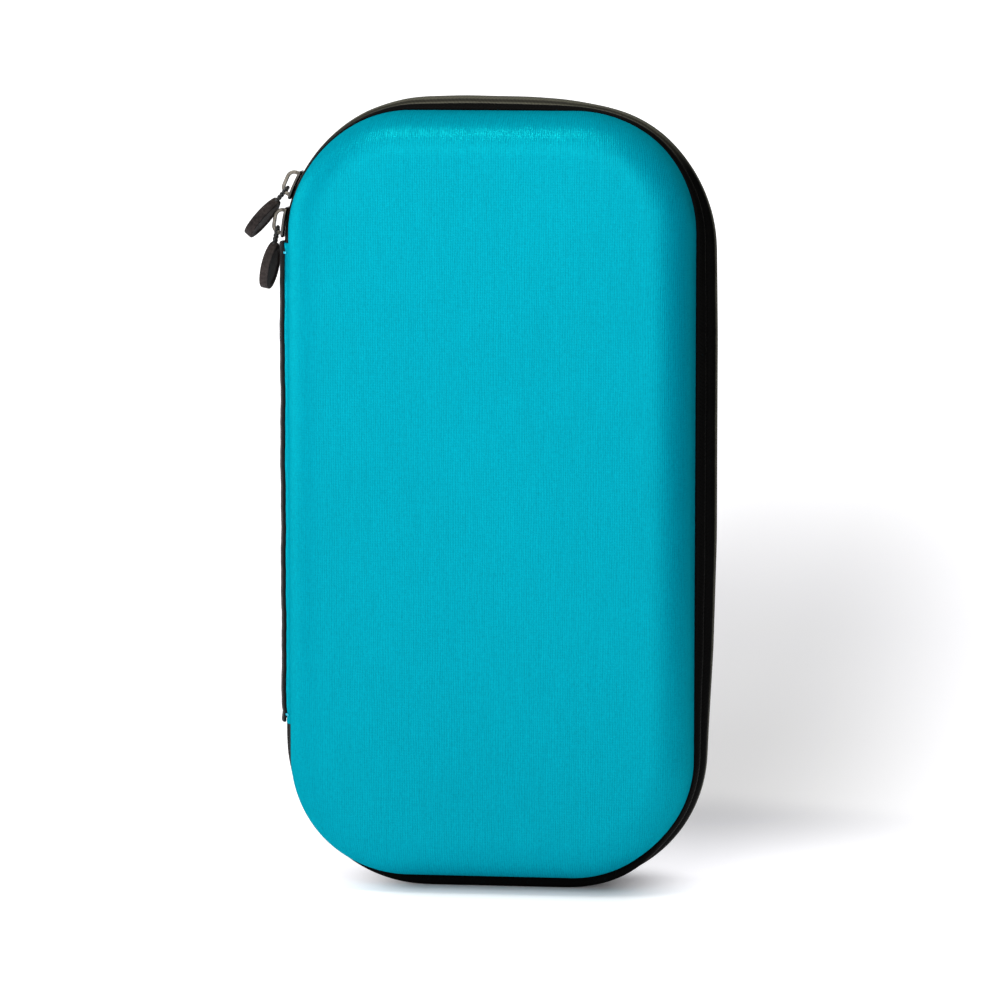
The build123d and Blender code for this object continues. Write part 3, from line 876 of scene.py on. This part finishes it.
def band_strip(name, x, y0, y1, z0, z1, t, material, slot, rows=26, cols=9, waves=0.06):
    """Upright woven strip facing X, its edges rounded."""
    rings, uvs = [], []
    sec = rounded_box((y1 - y0) / 2, t / 2, t * 0.42, 3)
    zs = np.linspace(z0, z1, rows * 3)
    for z in zs:
        end = min(z - z0, z1 - z)
        k = 0.55 + 0.45 * float(smooth(end, 0, 0.6))
        w = waves * math.sin(z * 0.33)
        ring = np.array([(x + b * k + w, (y0 + y1) / 2 + a, z) for a, b in sec])
        acr = np.concatenate([[0], np.cumsum(np.linalg.norm(np.diff(ring[:, :2], axis=0), axis=1))])
        rings.append(ring)
        uvs.append(np.stack([acr, np.full(len(ring), z)], axis=1))
    return lofted(name, rings, uvs=uvs)


inner_tape = band_strip("spine_inner_cloth", -64.15, -8.3, 8.3, 60, 215, 0.8, binding, "binding")
dress(inner_tape, binding, "binding", None, "spine_inner_tape")
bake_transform(inner_tape)


def bar_tack(spot, out, z):
    """Close zigzag of thread across the flap."""
    c = np.array([*spot, z])
    out = np.array([*out, 0.0])
    across = np.array([-out[1], out[0], 0.0])
    groups = []
    for i in range(7):
        f = (i - 3) / 3
        m = c + across * f * 0.68 + out * 0.14
        lean = 0.09 if i % 2 else -0.09
        groups.append(capsule(m + np.array([0, 0, -0.40]) - across * lean, m + np.array([0, 0, 0.40]) + across * lean, 0.14, 6))
    return groups


for spot, out, tag, material, slot in (((-72.0, -8.75), (-0.7634, -0.6459), "front", turquoise_thread, "turquoise_thread"),
                                       ((-73.5, 7.6), (-0.7433, 0.669), "rear", black_thread, "black_thread")):
    groups = bar_tack(spot, out, SPINE_Z0 + 3.2) + bar_tack(spot, out, SPINE_Z1 - 3.2)
    tack = many(f"spine_{tag}_bar_tacks", groups)
    dress(tack, material, slot, None, f"spine_{tag}_tacks")
    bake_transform(tack)


# ------------------------------------------------------------------ sliders
def on_arc(at_deg, t, h, y):
    """Point of a slider: t along the zip, h out from the band's crest, y across."""
    a = math.radians(at_deg + math.degrees(t / ARC_R))
    r = ARC_R + h
    return (ARC_X - r * math.cos(a), y, ARC_Z + r * math.sin(a))


def slider(name, at_deg, toward):
    """Cast body: top plate with wings and a spine, bottom plate with turned up sides, and the post."""
    groups = []

    def plate(stations, h0, h1, edge=0.32):
        rings = []
        mid, hh = (h0 + h1) / 2, (h1 - h0) / 2
        for t, hw, k in stations:
            sec = rounded_box(hw, hh * k, min(edge, hh * k * 0.95, hw * 0.9), 4)
            rings.append(np.array([on_arc(at_deg, t * toward, mid + b, a) for a, b in sec]))
        groups.append(rings)

    # wings wide at the mouth, shoulders at the middle, narrower tail
    top = [(-5.15, 2.6, 0.35), (-5.0, 3.2, 0.75), (-4.6, 3.55, 1), (-3.6, 3.72, 1), (-2.0, 3.78, 1), (-0.6, 3.82, 1), (0.4, 3.98, 1), (1.3, 4.15, 1),
           (2.4, 4.2, 1), (3.5, 4.18, 1), (4.3, 3.95, 1), (4.8, 3.45, 1), (5.05, 2.9, 0.75), (5.15, 2.4, 0.35)]
    plate(top, 0.17, 1.15)
    plate([(-4.7, 2.2, 0.35), (-4.5, 2.9, 0.8), (-3.9, 3.3, 1), (-1.5, 3.45, 1), (0, 3.5, 1), (1.6, 3.8, 1), (3.4, 3.85, 1), (4.2, 3.6, 1), (4.6, 3.0, 0.8), (4.72, 2.4, 0.35)], -3.48, -2.55)
    # turned up sides of the bottom plate
    for s in (-1, 1):
        rings = []
        for t, top_h, w in [(-4.3, -2.3, 0.14), (-4.0, -1.75, 0.22), (-3.0, -1.55, 0.24), (3.0, -1.55, 0.24), (4.0, -1.75, 0.22), (4.3, -2.3, 0.14)]:
            mid, hh = (-2.9 + top_h) / 2, (top_h + 2.9) / 2
            sec = rounded_box(w, hh, min(w, hh) * 0.8, 3)
            rings.append(np.array([on_arc(at_deg, t * toward, mid + b, s * 3.62 + a) for a, b in sec]))
        groups.append(rings)
    # the post that parts the chain
    rings = []
    for h, k in [(-2.75, 1.0), (-1.9, 1.0), (-1.0, 0.95), (-0.2, 0.95), (0.35, 1.0)]:
        ring = []
        for i in range(20):
            a = 2 * math.pi * i / 20
            t = 1.95 * k * math.cos(a)
            y = 1.22 * k * math.copysign(abs(math.sin(a)) ** 1.25, math.sin(a))
            ring.append(on_arc(at_deg, toward * 2.62 + t, h, y))
        rings.append(np.array(ring))
    groups.append(rings)
    # raised spine and feet under the crown
    rings = []
    for t, hw, k in [(-4.35, 0.5, 0.3), (-4.2, 0.85, 0.8), (-3.4, 1.05, 1), (-2.2, 0.85, 0.85), (0, 0.7, 0.55), (2.2, 0.85, 0.85), (3.4, 1.05, 1), (4.2, 0.85, 0.8), (4.35, 0.5, 0.3)]:
        hh = 0.32 * k
        sec = rounded_box(hw, hh, hh * 0.9, 3)
        rings.append(np.array([on_arc(at_deg, t, 1.13 + b, a) for a, b in sec]))
    groups.append(rings)
    return many(name, groups)


def crown(name, at_deg):
    """Arched strip that carries the pull, its feet let into the top plate."""
    a0 = math.radians(at_deg)
    x0 = ARC_X - (ARC_R + 1.15) * math.cos(a0)
    z0 = ARC_Z + (ARC_R + 1.15) * math.sin(a0)
    out = np.array([-math.cos(a0), 0.0, math.sin(a0)])
    along = np.array([math.sin(a0), 0.0, math.cos(a0)])
    centre = np.array([x0, 0.0, z0])
    # half length, height and bend radius of the strip's middle line
    hl, top, r = 3.95, 3.05, 2.45
    line = [(-hl, -0.55), (-hl, 0.1)]
    line += [(-hl + r - r * math.cos(t), top - r + r * math.sin(t)) for t in np.linspace(0, math.pi / 2, 13)]
    line += [(-q[0], q[1]) for q in reversed(line)]
    p = eased(line, 0.22, 2)
    d = np.gradient(p, axis=0)
    d /= np.linalg.norm(d, axis=1)[:, None]
    rings = []
    n = len(p) - 1
    for i in range(n + 1):
        c = centre + along * p[i, 0] + out * p[i, 1]
        nrm = -along * d[i, 1] + out * d[i, 0]
        foot = 1 - float(smooth(p[i, 1], 0.0, 1.1))
        sec = rounded_box(0.74 + 0.22 * foot, 0.60, 0.26, 4)
        rings.append(np.array([c + np.array([0, 1, 0]) * a + nrm * b for a, b in sec]))
    return many(name, [rings])


dress(slider("lower_slider_casting", LOWER_AT, 1), slider_metal, "slider_metal", "lower_slider", "lower_slider_body")
dress(crown("lower_slider_arch", LOWER_AT), bright_metal, "bright_metal", "lower_slider", "lower_slider_crown")
dress(slider("upper_slider_casting", UPPER_AT, -1), slider_metal, "slider_metal", "upper_slider", "upper_slider_body")
dress(crown("upper_slider_arch", UPPER_AT), bright_metal, "bright_metal", "upper_slider", "upper_slider_crown")


# ------------------------------------------------------------------ pulls
def pull_axes(pivot, hang):
    a, t = math.radians(hang), math.radians(DISC_TURN)
    down = np.array([-math.sin(a), 0.0, -math.cos(a)])
    face = np.array([math.cos(a) * math.cos(t), -math.sin(t), -math.sin(a) * math.cos(t)])
    side = np.cross(face, down)
    up = np.cross(face, side)
    return np.array([pivot[0], 0.0, pivot[1]]), side, up, face


def cord_loop(name, pivot, hang):
    """Two-ply cord bent round the crown, both ends moulded into the disc."""
    o, side, up, face = pull_axes(pivot, hang)
    h = 1.7
    route = [(-h * 0.84, -6.9), (-h * 0.88, -5.9), (-h * 0.97, -4.2), (-h, -2.0), (-h, 0.0)]
    for i in range(1, 12):
        t = math.pi * (1 - i / 12)
        route.append((h * math.cos(t), h * math.sin(t)))
    route += [(h, 0.0), (h, -2.0), (h * 0.97, -4.2), (h * 0.88, -5.9), (h * 0.84, -6.9)]
    r = np.array(route)
    s = np.concatenate([[0], np.cumsum(np.linalg.norm(np.diff(r, axis=0), axis=1))])
    n = 120
    tt = np.linspace(0, s[-1], n)
    q = np.stack([np.interp(tt, s, r[:, 0]), np.interp(tt, s, r[:, 1])], axis=1)
    for _ in range(4):
        q[1:-1] = (q[:-2] + 2 * q[1:-1] + q[2:]) / 4
    d = np.gradient(q, axis=0)
    d /= np.linalg.norm(d, axis=1)[:, None]
    groups = []
    for ply in (0, 1):
        pts = []
        for i in range(n):
            a = 2 * math.pi * tt[i] / 2.5 + math.pi * ply
            nx, ny = -d[i, 1], d[i, 0]
            x = q[i, 0] + 0.27 * math.cos(a) * nx
            y = q[i, 1] + 0.27 * math.cos(a) * ny
            z = 0.27 * math.sin(a)
            pts.append(o + side * x + up * y + face * z)
        groups.append(tube(pts, 0.315, 8))
    return many(name, groups)


def disc(name, pivot, hang):
    """Moulded rubber pull: thick rim, shallow dished faces, a short neck that closes on the cord."""
    o, side, up, face = pull_axes(pivot, hang)
    drop, R, T = 12.3, 7.5, 1.55
    n = 96
    verts, faces, uv = [], [], []
    prof = [(0.0, T - 0.42), (0.30, T - 0.42), (0.60, T - 0.42), (0.72, T - 0.41), (0.765, T - 0.30), (0.79, T - 0.08), (0.815, T), (0.87, T), (0.94, T - 0.01),
            (0.972, T - 0.07), (0.990, T - 0.20), (0.999, T - 0.42), (1.0, 0.35), (1.0, -0.35)]
    full = prof[:-1] + [(a, -b) for a, b in reversed(prof[:-1])]
    rings = []
    for k, w in full:
        if k == 0.0:
            verts.append(tuple(o + up * -drop + face * w))
            rings.append([len(verts) - 1] * n)
            continue
        ids = []
        for i in range(n):
            a = 2 * math.pi * i / n
            x, y = R * math.sin(a), R * math.cos(a)
            dy = (i / n + 0.5) % 1 - 0.5
            neck = math.exp(-((dy * 360 / 21.0) ** 2))
            grow = smooth(k, 0.72, 1.0) * 1.05 * neck
            rr = k + grow / R
            thin = 1 - 0.16 * neck * smooth(k, 0.8, 1.0)
            verts.append(tuple(o + side * x * rr + up * (y * rr - drop) + face * w * thin))
            ids.append(len(verts) - 1)
        rings.append(ids)
    for a, b in zip(rings, rings[1:]):
        for i in range(n):
            l = (i + 1) % n
            f = []
            for v in (a[i], a[l], b[l], b[i]):
                if v not in f:
                    f.append(v)
            if len(f) > 2:
                faces.append(tuple(f))
    return build(name, verts, faces)


for tag, pivot, hang in (("lower", LOWER_PIVOT, LOWER_HANG), ("upper", UPPER_PIVOT, UPPER_HANG)):
    dress(cord_loop(f"{tag}_pull_loop", pivot, hang), pull_cord_mat, "pull_cord", f"{tag}_pull", f"{tag}_pull_cord")
    dress(disc(f"{tag}_pull_tab", pivot, hang), pull_rubber, "pull_rubber", f"{tag}_pull", f"{tag}_pull_disc")


# ------------------------------------------------------------------ fittings
def net(name, w, z0, z1, r, y_mid, t=0.5, pitch=2.8, strand=0.95):
    """Knitted net of six sided holes, cut to the pocket's outline."""
    a = pitch / math.sqrt(3)
    hw = w / 2
    grid, cells = {}, []

    def inside(x, z):
        if not (-hw < x < hw and z0 < z < z1):
            return False
        if z < z0 + r and abs(x) > hw - r:
            return math.hypot(abs(x) - (hw - r), z - (z0 + r)) < r
        return True

    rows = int((z1 - z0) / (1.5 * a)) + 2
    cols = int(w / pitch) + 3
    for i in range(rows):
        for j in range(-cols // 2 - 1, cols // 2 + 2):
            cx = j * pitch + (pitch / 2 if i % 2 else 0)
            cz = z0 + 0.9 * a + i * 1.5 * a
            corners = [(cx + a * math.sin(math.radians(60 * k)), cz + a * math.cos(math.radians(60 * k))) for k in range(6)]
            if all(inside(*c) for c in corners):
                cells.append((cx, cz, corners))
    verts, faces = [], []

    def depth(x, z):
        """Bellied a little where it hangs free."""
        return y_mid - 0.9 * (1 - (x / hw) ** 2) * math.sin(math.pi * min(1, max(0, (z - z0) / (z1 - z0)))) ** 0.8

    def shared(x, z, layer):
        key = (round(x, 2), round(z, 2), layer)
        if key not in grid:
            grid[key] = len(verts)
            verts.append((SHELL_X + x, depth(x, z) + layer * t / 2, z))
        return grid[key]

    edges = {}
    k_in = 1 - strand / pitch
    for cx, cz, corners in cells:
        outer = {s: [shared(x, z, s) for x, z in corners] for s in (-1, 1)}
        inner = {}
        for s in (-1, 1):
            ids = []
            for x, z in corners:
                ix, iz = cx + (x - cx) * k_in, cz + (z - cz) * k_in
                ids.append(len(verts))
                verts.append((SHELL_X + ix, depth(ix, iz) + s * t / 2 * 0.8, iz))
            inner[s] = ids
        for k in range(6):
            l = (k + 1) % 6
            for s in (-1, 1):
                faces.append((outer[s][k], outer[s][l], inner[s][l], inner[s][k]))
            faces.append((inner[-1][k], inner[-1][l], inner[1][l], inner[1][k]))
            key = frozenset((outer[1][k], outer[1][l]))
            edges.setdefault(key, []).append((outer[1][k], outer[1][l], outer[-1][l], outer[-1][k]))
    for key, quads in edges.items():
        if len(quads) == 1:
            faces.append(quads[0])
    uvs = [(v[0], v[2]) for v in verts]
    return build(name, verts, faces, uvs), depth


pocket_net, net_depth = net("pocket_net_cloth", 125.2, 10.8, 181.5, 34.6, -16.7)


def hem_path():
    """Edge of the pocket: down the left, round the bottom and up the right."""
    hw, z0, r = 62.4, 11.0, 34.4
    pts = [(-hw, z) for z in np.linspace(180, z0 + r, 60)]
    pts += [(-hw + r - r * math.cos(t), z0 + r - r * math.sin(t)) for t in np.linspace(0, math.pi / 2, 24)[1:]]
    pts += [(x, z0) for x in np.linspace(-hw + r, hw - r, 24)[1:]]
    pts += [(hw - r + r * math.sin(t), z0 + r - r * math.cos(t)) for t in np.linspace(0, math.pi / 2, 24)[1:]]
    pts += [(hw, z) for z in np.linspace(z0 + r, 180, 60)[1:]]
    return np.array(pts) + np.array([SHELL_X, 0.0])


def hem(name):
    """Folded binding tape sewn over the net's cut edge."""
    p = hem_path()
    d = np.gradient(p, axis=0)
    d /= np.linalg.norm(d, axis=1)[:, None]
    n = np.stack([d[:, 1], -d[:, 0]], axis=1)     # outward
    s = np.concatenate([[0], np.cumsum(np.linalg.norm(np.diff(p, axis=0), axis=1))])
    rings, uvs = [], []
    sec = rounded_box(2.2, 0.62, 0.42, 3)
    for i in range(len(p)):
        ring = []
        for a, b in sec:
            q = p[i] - n[i] * (1.9 + a)
            ring.append((q[0], -16.75 + b, q[1]))
        ring = np.array(ring)
        acr = np.concatenate([[0], np.cumsum(np.linalg.norm(np.diff(ring, axis=0), axis=1))])
        rings.append(ring)
        uvs.append(np.stack([np.full(len(ring), s[i]), acr], axis=1))
    return lofted(name, rings, uvs=uvs)


dress(pocket_net, net_yarn, "pocket_net", "lid", "pocket_mesh")
pocket_hem = dress(hem("pocket_hem_tape"), binding, "binding", "lid")


def ribbed(name, path, z0, z1, t, ribs, up=(0, 0, 1), gather=0.0):
    """Elastic webbing along a path in the XY plane, ribbed lengthwise; edges rounded."""
    path = np.array(path, float)
    d = np.gradient(path, axis=0)
    d /= np.linalg.norm(d, axis=1)[:, None]
    n = np.stack([-d[:, 1], d[:, 0]], axis=1)
    s = np.concatenate([[0], np.cumsum(np.linalg.norm(np.diff(path, axis=0), axis=1))])
    m = ribs * 6
    face = [(z0 + (z1 - z0) * k / m, 0.5 + 0.14 * math.cos(2 * math.pi * ribs * k / m) * (0 if k in (0, m) else 1) - (0.16 if k in (0, m) else 0)) for k in range(m + 1)]
    rings, uvs = [], []
    for i in range(len(path)):
        ring = []
        pinch = gather * math.sin(s[i] * 2 * math.pi / 2.4)
        end = min(s[i], s[-1] - s[i])
        k = 0.6 + 0.4 * float(smooth(end, 0, 0.5))
        for z, h in face:
            q = path[i] + n[i] * (h * t * k + pinch)
            ring.append((q[0], q[1], z))
        for z, h in reversed(face):
            q = path[i] - n[i] * (h * t * k - pinch)
            ring.append((q[0], q[1], z))
        ring = np.array(ring)
        acr = np.concatenate([[0], np.cumsum(np.linalg.norm(np.diff(ring, axis=0), axis=1))])
        rings.append(ring)
        uvs.append(np.stack([np.full(len(ring), s[i]), acr], axis=1))
    return lofted(name, rings, uvs=uvs)


top_path = [(SHELL_X + x, -16.7 - 0.9 * (1 - (x / 62.5) ** 2) * 0.25) for x in np.linspace(-62.3, 62.3, 180)]
dress(ribbed("pocket_top_elastic", top_path, 180.0, 188.0, 1.15, 5, gather=0.07), elastic, "elastic", "lid", "pocket_elastic")

inner = FACE_Y - WALL
arch = []
half, rise = 30.0, 9.0
rad = (half * half + rise * rise) / (2 * rise)
for x in np.linspace(-38, -31, 12):
    arch.append((SHELL_X + x, inner - 0.55))
span = math.asin(half / rad)
for a in np.linspace(-span, span, 70):
    arch.append((SHELL_X + rad * math.sin(a), inner - 0.55 - (rad * math.cos(a) - (rad - rise))))
for x in np.linspace(31, 38, 12):
    arch.append((SHELL_X + x, inner - 0.55))
arch = eased(arch, 0.8, 4)
dress(ribbed("retaining_strap_webbing", arch, 150.0, 175.0, 0.9, 14), elastic, "elastic", "base", "retaining_strap")

groups = []
for sx in (-1, 1):
    # a sewn box with a cross at each end of the strap
    x0, x1, z0, z1 = 32.4, 36.8, 152.4, 172.6
    y = inner - 1.18
    runs = [((x0, z0), (x1, z0)), ((x1, z0), (x1, z1)), ((x1, z1), (x0, z1)), ((x0, z1), (x0, z0)), ((x0, z0), (x1, z1)), ((x1, z0), (x0, z1))]
    for a, b in runs:
        a, b = np.array(a), np.array(b)
        length = np.linalg.norm(b - a)
        count = max(2, round(length / 2.1))
        for i in range(count):
            p = a + (b - a) * (i + 0.09) / count
            q = a + (b - a) * (i + 0.91) / count
            groups.append(capsule((SHELL_X + sx * p[0], y, p[1]), (SHELL_X + sx * q[0], y, q[1]), 0.17, 7))
dress(many("strap_stitches", groups), black_thread, "black_thread", "base", "strap_tacks")

# ------------------------------------------------------------------ floor, world, lights
bpy.context.scene.view_settings.view_transform = "Standard"
bpy.context.scene.view_settings.look = "None"
bpy.context.scene.view_settings.exposure = 0.0
bpy.context.scene.view_settings.gamma = 1.0

floor_mesh = bpy.data.meshes.new("floor")
floor_mesh.from_pydata([(-12, -12, 0), (12, -12, 0), (12, 12, 0), (-12, 12, 0)], [], [(0, 1, 2, 3)])
floor = bpy.data.objects.new("floor", floor_mesh)
floor.location.z = -0.00005
bpy.context.scene.collection.objects.link(floor)
f = Nodes("floor_white")
fo = f.coords(False)
away = f.new("ShaderNodeVectorMath", operation="LENGTH")
f.link(fo, away.inputs[0])
far = f.math("MULTIPLY", away.outputs["Value"], 1 / 3.0, clamp=True)
speck = f.ramp(f.noise(fo, 3.0, 2), [(0.3, (0.71, 0.71, 0.722)), (0.7, (0.73, 0.73, 0.738))])
diffuse = f.new("ShaderNodeBsdfDiffuse")
f.link(speck, diffuse.inputs["Color"])
own = f.new("ShaderNodeEmission")
glow = f.ramp(far, [(0.0, (0.74, 0.738, 0.770)), (0.20, (0.76, 0.757, 0.788)), (0.60, (1.05, 1.05, 1.05))])


def eased_range(value, low, high):
    n = f.new("ShaderNodeMapRange", interpolation_type="SMOOTHSTEP")
    f.put(value, n.inputs["Value"])
    n.inputs["From Min"].default_value, n.inputs["From Max"].default_value = low, high
    return n.outputs["Result"]


# soft shade behind the case, a little to the right
fx, fy, _ = f.split(fo)
off = f.math("ABSOLUTE", f.math("SUBTRACT", fx, 0.04))
shade = f.math("MULTIPLY", eased_range(off, 0.165, 0.02), f.math("MULTIPLY", eased_range(fy, 0.005, 0.150), eased_range(fy, 1.7, 0.25)))
# and a painted contact shadow: a narrow dark edge round the stretch that the case stands on
px = f.math("MAXIMUM", f.math("SUBTRACT", f.math("ABSOLUTE", f.math("SUBTRACT", fx, 0.006)), 0.030), 0.0)
py = f.math("MAXIMUM", f.math("SUBTRACT", f.math("ABSOLUTE", fy), 0.008), 0.0)
near = f.math("SQRT", f.math("ADD", f.math("MULTIPLY", px, px), f.math("MULTIPLY", py, py)))
kept = f.math("MULTIPLY", f.math("MULTIPLY_ADD", shade, -0.73, 1.0), f.math("MULTIPLY_ADD", eased_range(near, 0.034, -0.003), -0.85, 1.0))
# less of its own light just in front of the case, more beyond the picture's lower edge
front = f.math("ADD", f.math("MULTIPLY", eased_range(fy, 0.05, -0.06), -0.135), f.math("MULTIPLY", eased_range(fy, -0.19, -0.32), 0.80))
kept = f.math("ADD", kept, front)
weight = f.new("ShaderNodeVectorMath", operation="SCALE")
f.link(glow, weight.inputs[0])
f.link(kept, weight.inputs["Scale"])
f.link(weight.outputs[0], own.inputs["Color"])
own.inputs["Strength"].default_value = 1.0
lit = f.new("ShaderNodeAddShader")
f.link(diffuse.outputs[0], lit.inputs[0])
f.link(own.outputs[0], lit.inputs[1])
gloss = f.new("ShaderNodeBsdfGlossy")
gloss.inputs["Roughness"].default_value = 0.30
both = f.new("ShaderNodeMixShader")
both.inputs[0].default_value = 0.06
f.link(lit.outputs[0], both.inputs[1])
f.link(gloss.outputs[0], both.inputs[2])
out_node = f.nt.nodes["Material Output"]
f.link(both.outputs[0], out_node.inputs["Surface"])
f.nt.nodes.remove(f.bsdf)
floor_mesh.materials.append(f.mat)

# a pale studio: bright low down and to the left, darker half way up and on the right
world = bpy.data.worlds.new("studio")
bpy.context.scene.world = world
world.use_nodes = True
wt = world.node_tree
bg = wt.nodes["Background"]


def world_math(op, *values):
    n = wt.nodes.new("ShaderNodeMath")
    n.operation = op
    for value, socket in zip(values, n.inputs):
        if hasattr(value, "links"):
            wt.links.new(value, socket)
        else:
            socket.default_value = value
    return n.outputs[0]


def world_ramp(fac, stops):
    n = wt.nodes.new("ShaderNodeValToRGB")
    wt.links.new(fac, n.inputs[0])
    el = n.color_ramp.elements
    while len(el) < len(stops):
        el.new(0.5)
    for e, (pos, v) in zip(el, stops):
        e.position, e.color = pos, (v, v, v, 1)
    return n.outputs[0]


tc = wt.nodes.new("ShaderNodeTexCoord")
sep = wt.nodes.new("ShaderNodeSeparateXYZ")
wt.links.new(tc.outputs["Generated"], sep.inputs[0])
sideways = world_ramp(world_math("MULTIPLY_ADD", sep.outputs["X"], 0.5, 0.5), [(0.0, 0.9), (0.48, 1.0), (0.78, 0.34), (1.0, 0.10)])
upward = world_ramp(sep.outputs["Z"], [(0.0, 1.0), (0.22, 0.85), (0.45, 0.38), (1.0, 0.75)])
wt.links.new(world_math("MULTIPLY", sideways, upward), bg.inputs["Color"])
bg.inputs["Strength"].default_value = 1.0


def softbox(name, place, look_at, size_x, size_y, power, colour=(1, 1, 1)):
    data = bpy.data.lights.new(name, "AREA")
    data.shape = "RECTANGLE"
    data.size, data.size_y = size_x, size_y
    data.energy = power
    data.color = colour
    ob = bpy.data.objects.new(name, data)
    bpy.context.scene.collection.objects.link(ob)
    ob.location = place
    ob.rotation_mode = "QUATERNION"
    ob.rotation_quaternion = (Vector(look_at) - Vector(place)).to_track_quat("-Z", "Y")
    ob.visible_camera = False
    return ob


softbox("key_front", (-0.22, -1.40, 0.88), (0, 0, 0.15), 0.9, 1.0, 12.0)
softbox("fill_right", (0.62, -1.20, 0.42), (0, 0, 0.15), 0.4, 0.6, 3.2)
softbox("overhead", (-0.12, -0.30, 0.87), (0, 0, 0.22), 0.42, 0.05, 2.3, (1.0, 0.98, 0.88))
softbox("rim_left", (-0.73, 0.30, 0.24), (0, 0, 0.15), 0.10, 0.60, 2.1)

# a black card out of the picture on the right keeps that side of the case dark
card_mesh = bpy.data.meshes.new("dark_card")
card_mesh.from_pydata([(0.46, -0.75, 0.0), (0.46, 0.45, 0.0), (0.46, 0.45, 0.5), (0.46, -0.75, 0.5)], [], [(0, 1, 2, 3)])
card = bpy.data.objects.new("dark_card", card_mesh)
bpy.context.scene.collection.objects.link(card)
c = Nodes("card_black")
c.set(Base_Color=(0.01, 0.01, 0.01, 1.0), Roughness=0.9, Specular_IOR_Level=0.1)
card_mesh.materials.append(c.mat)
card.visible_camera = False
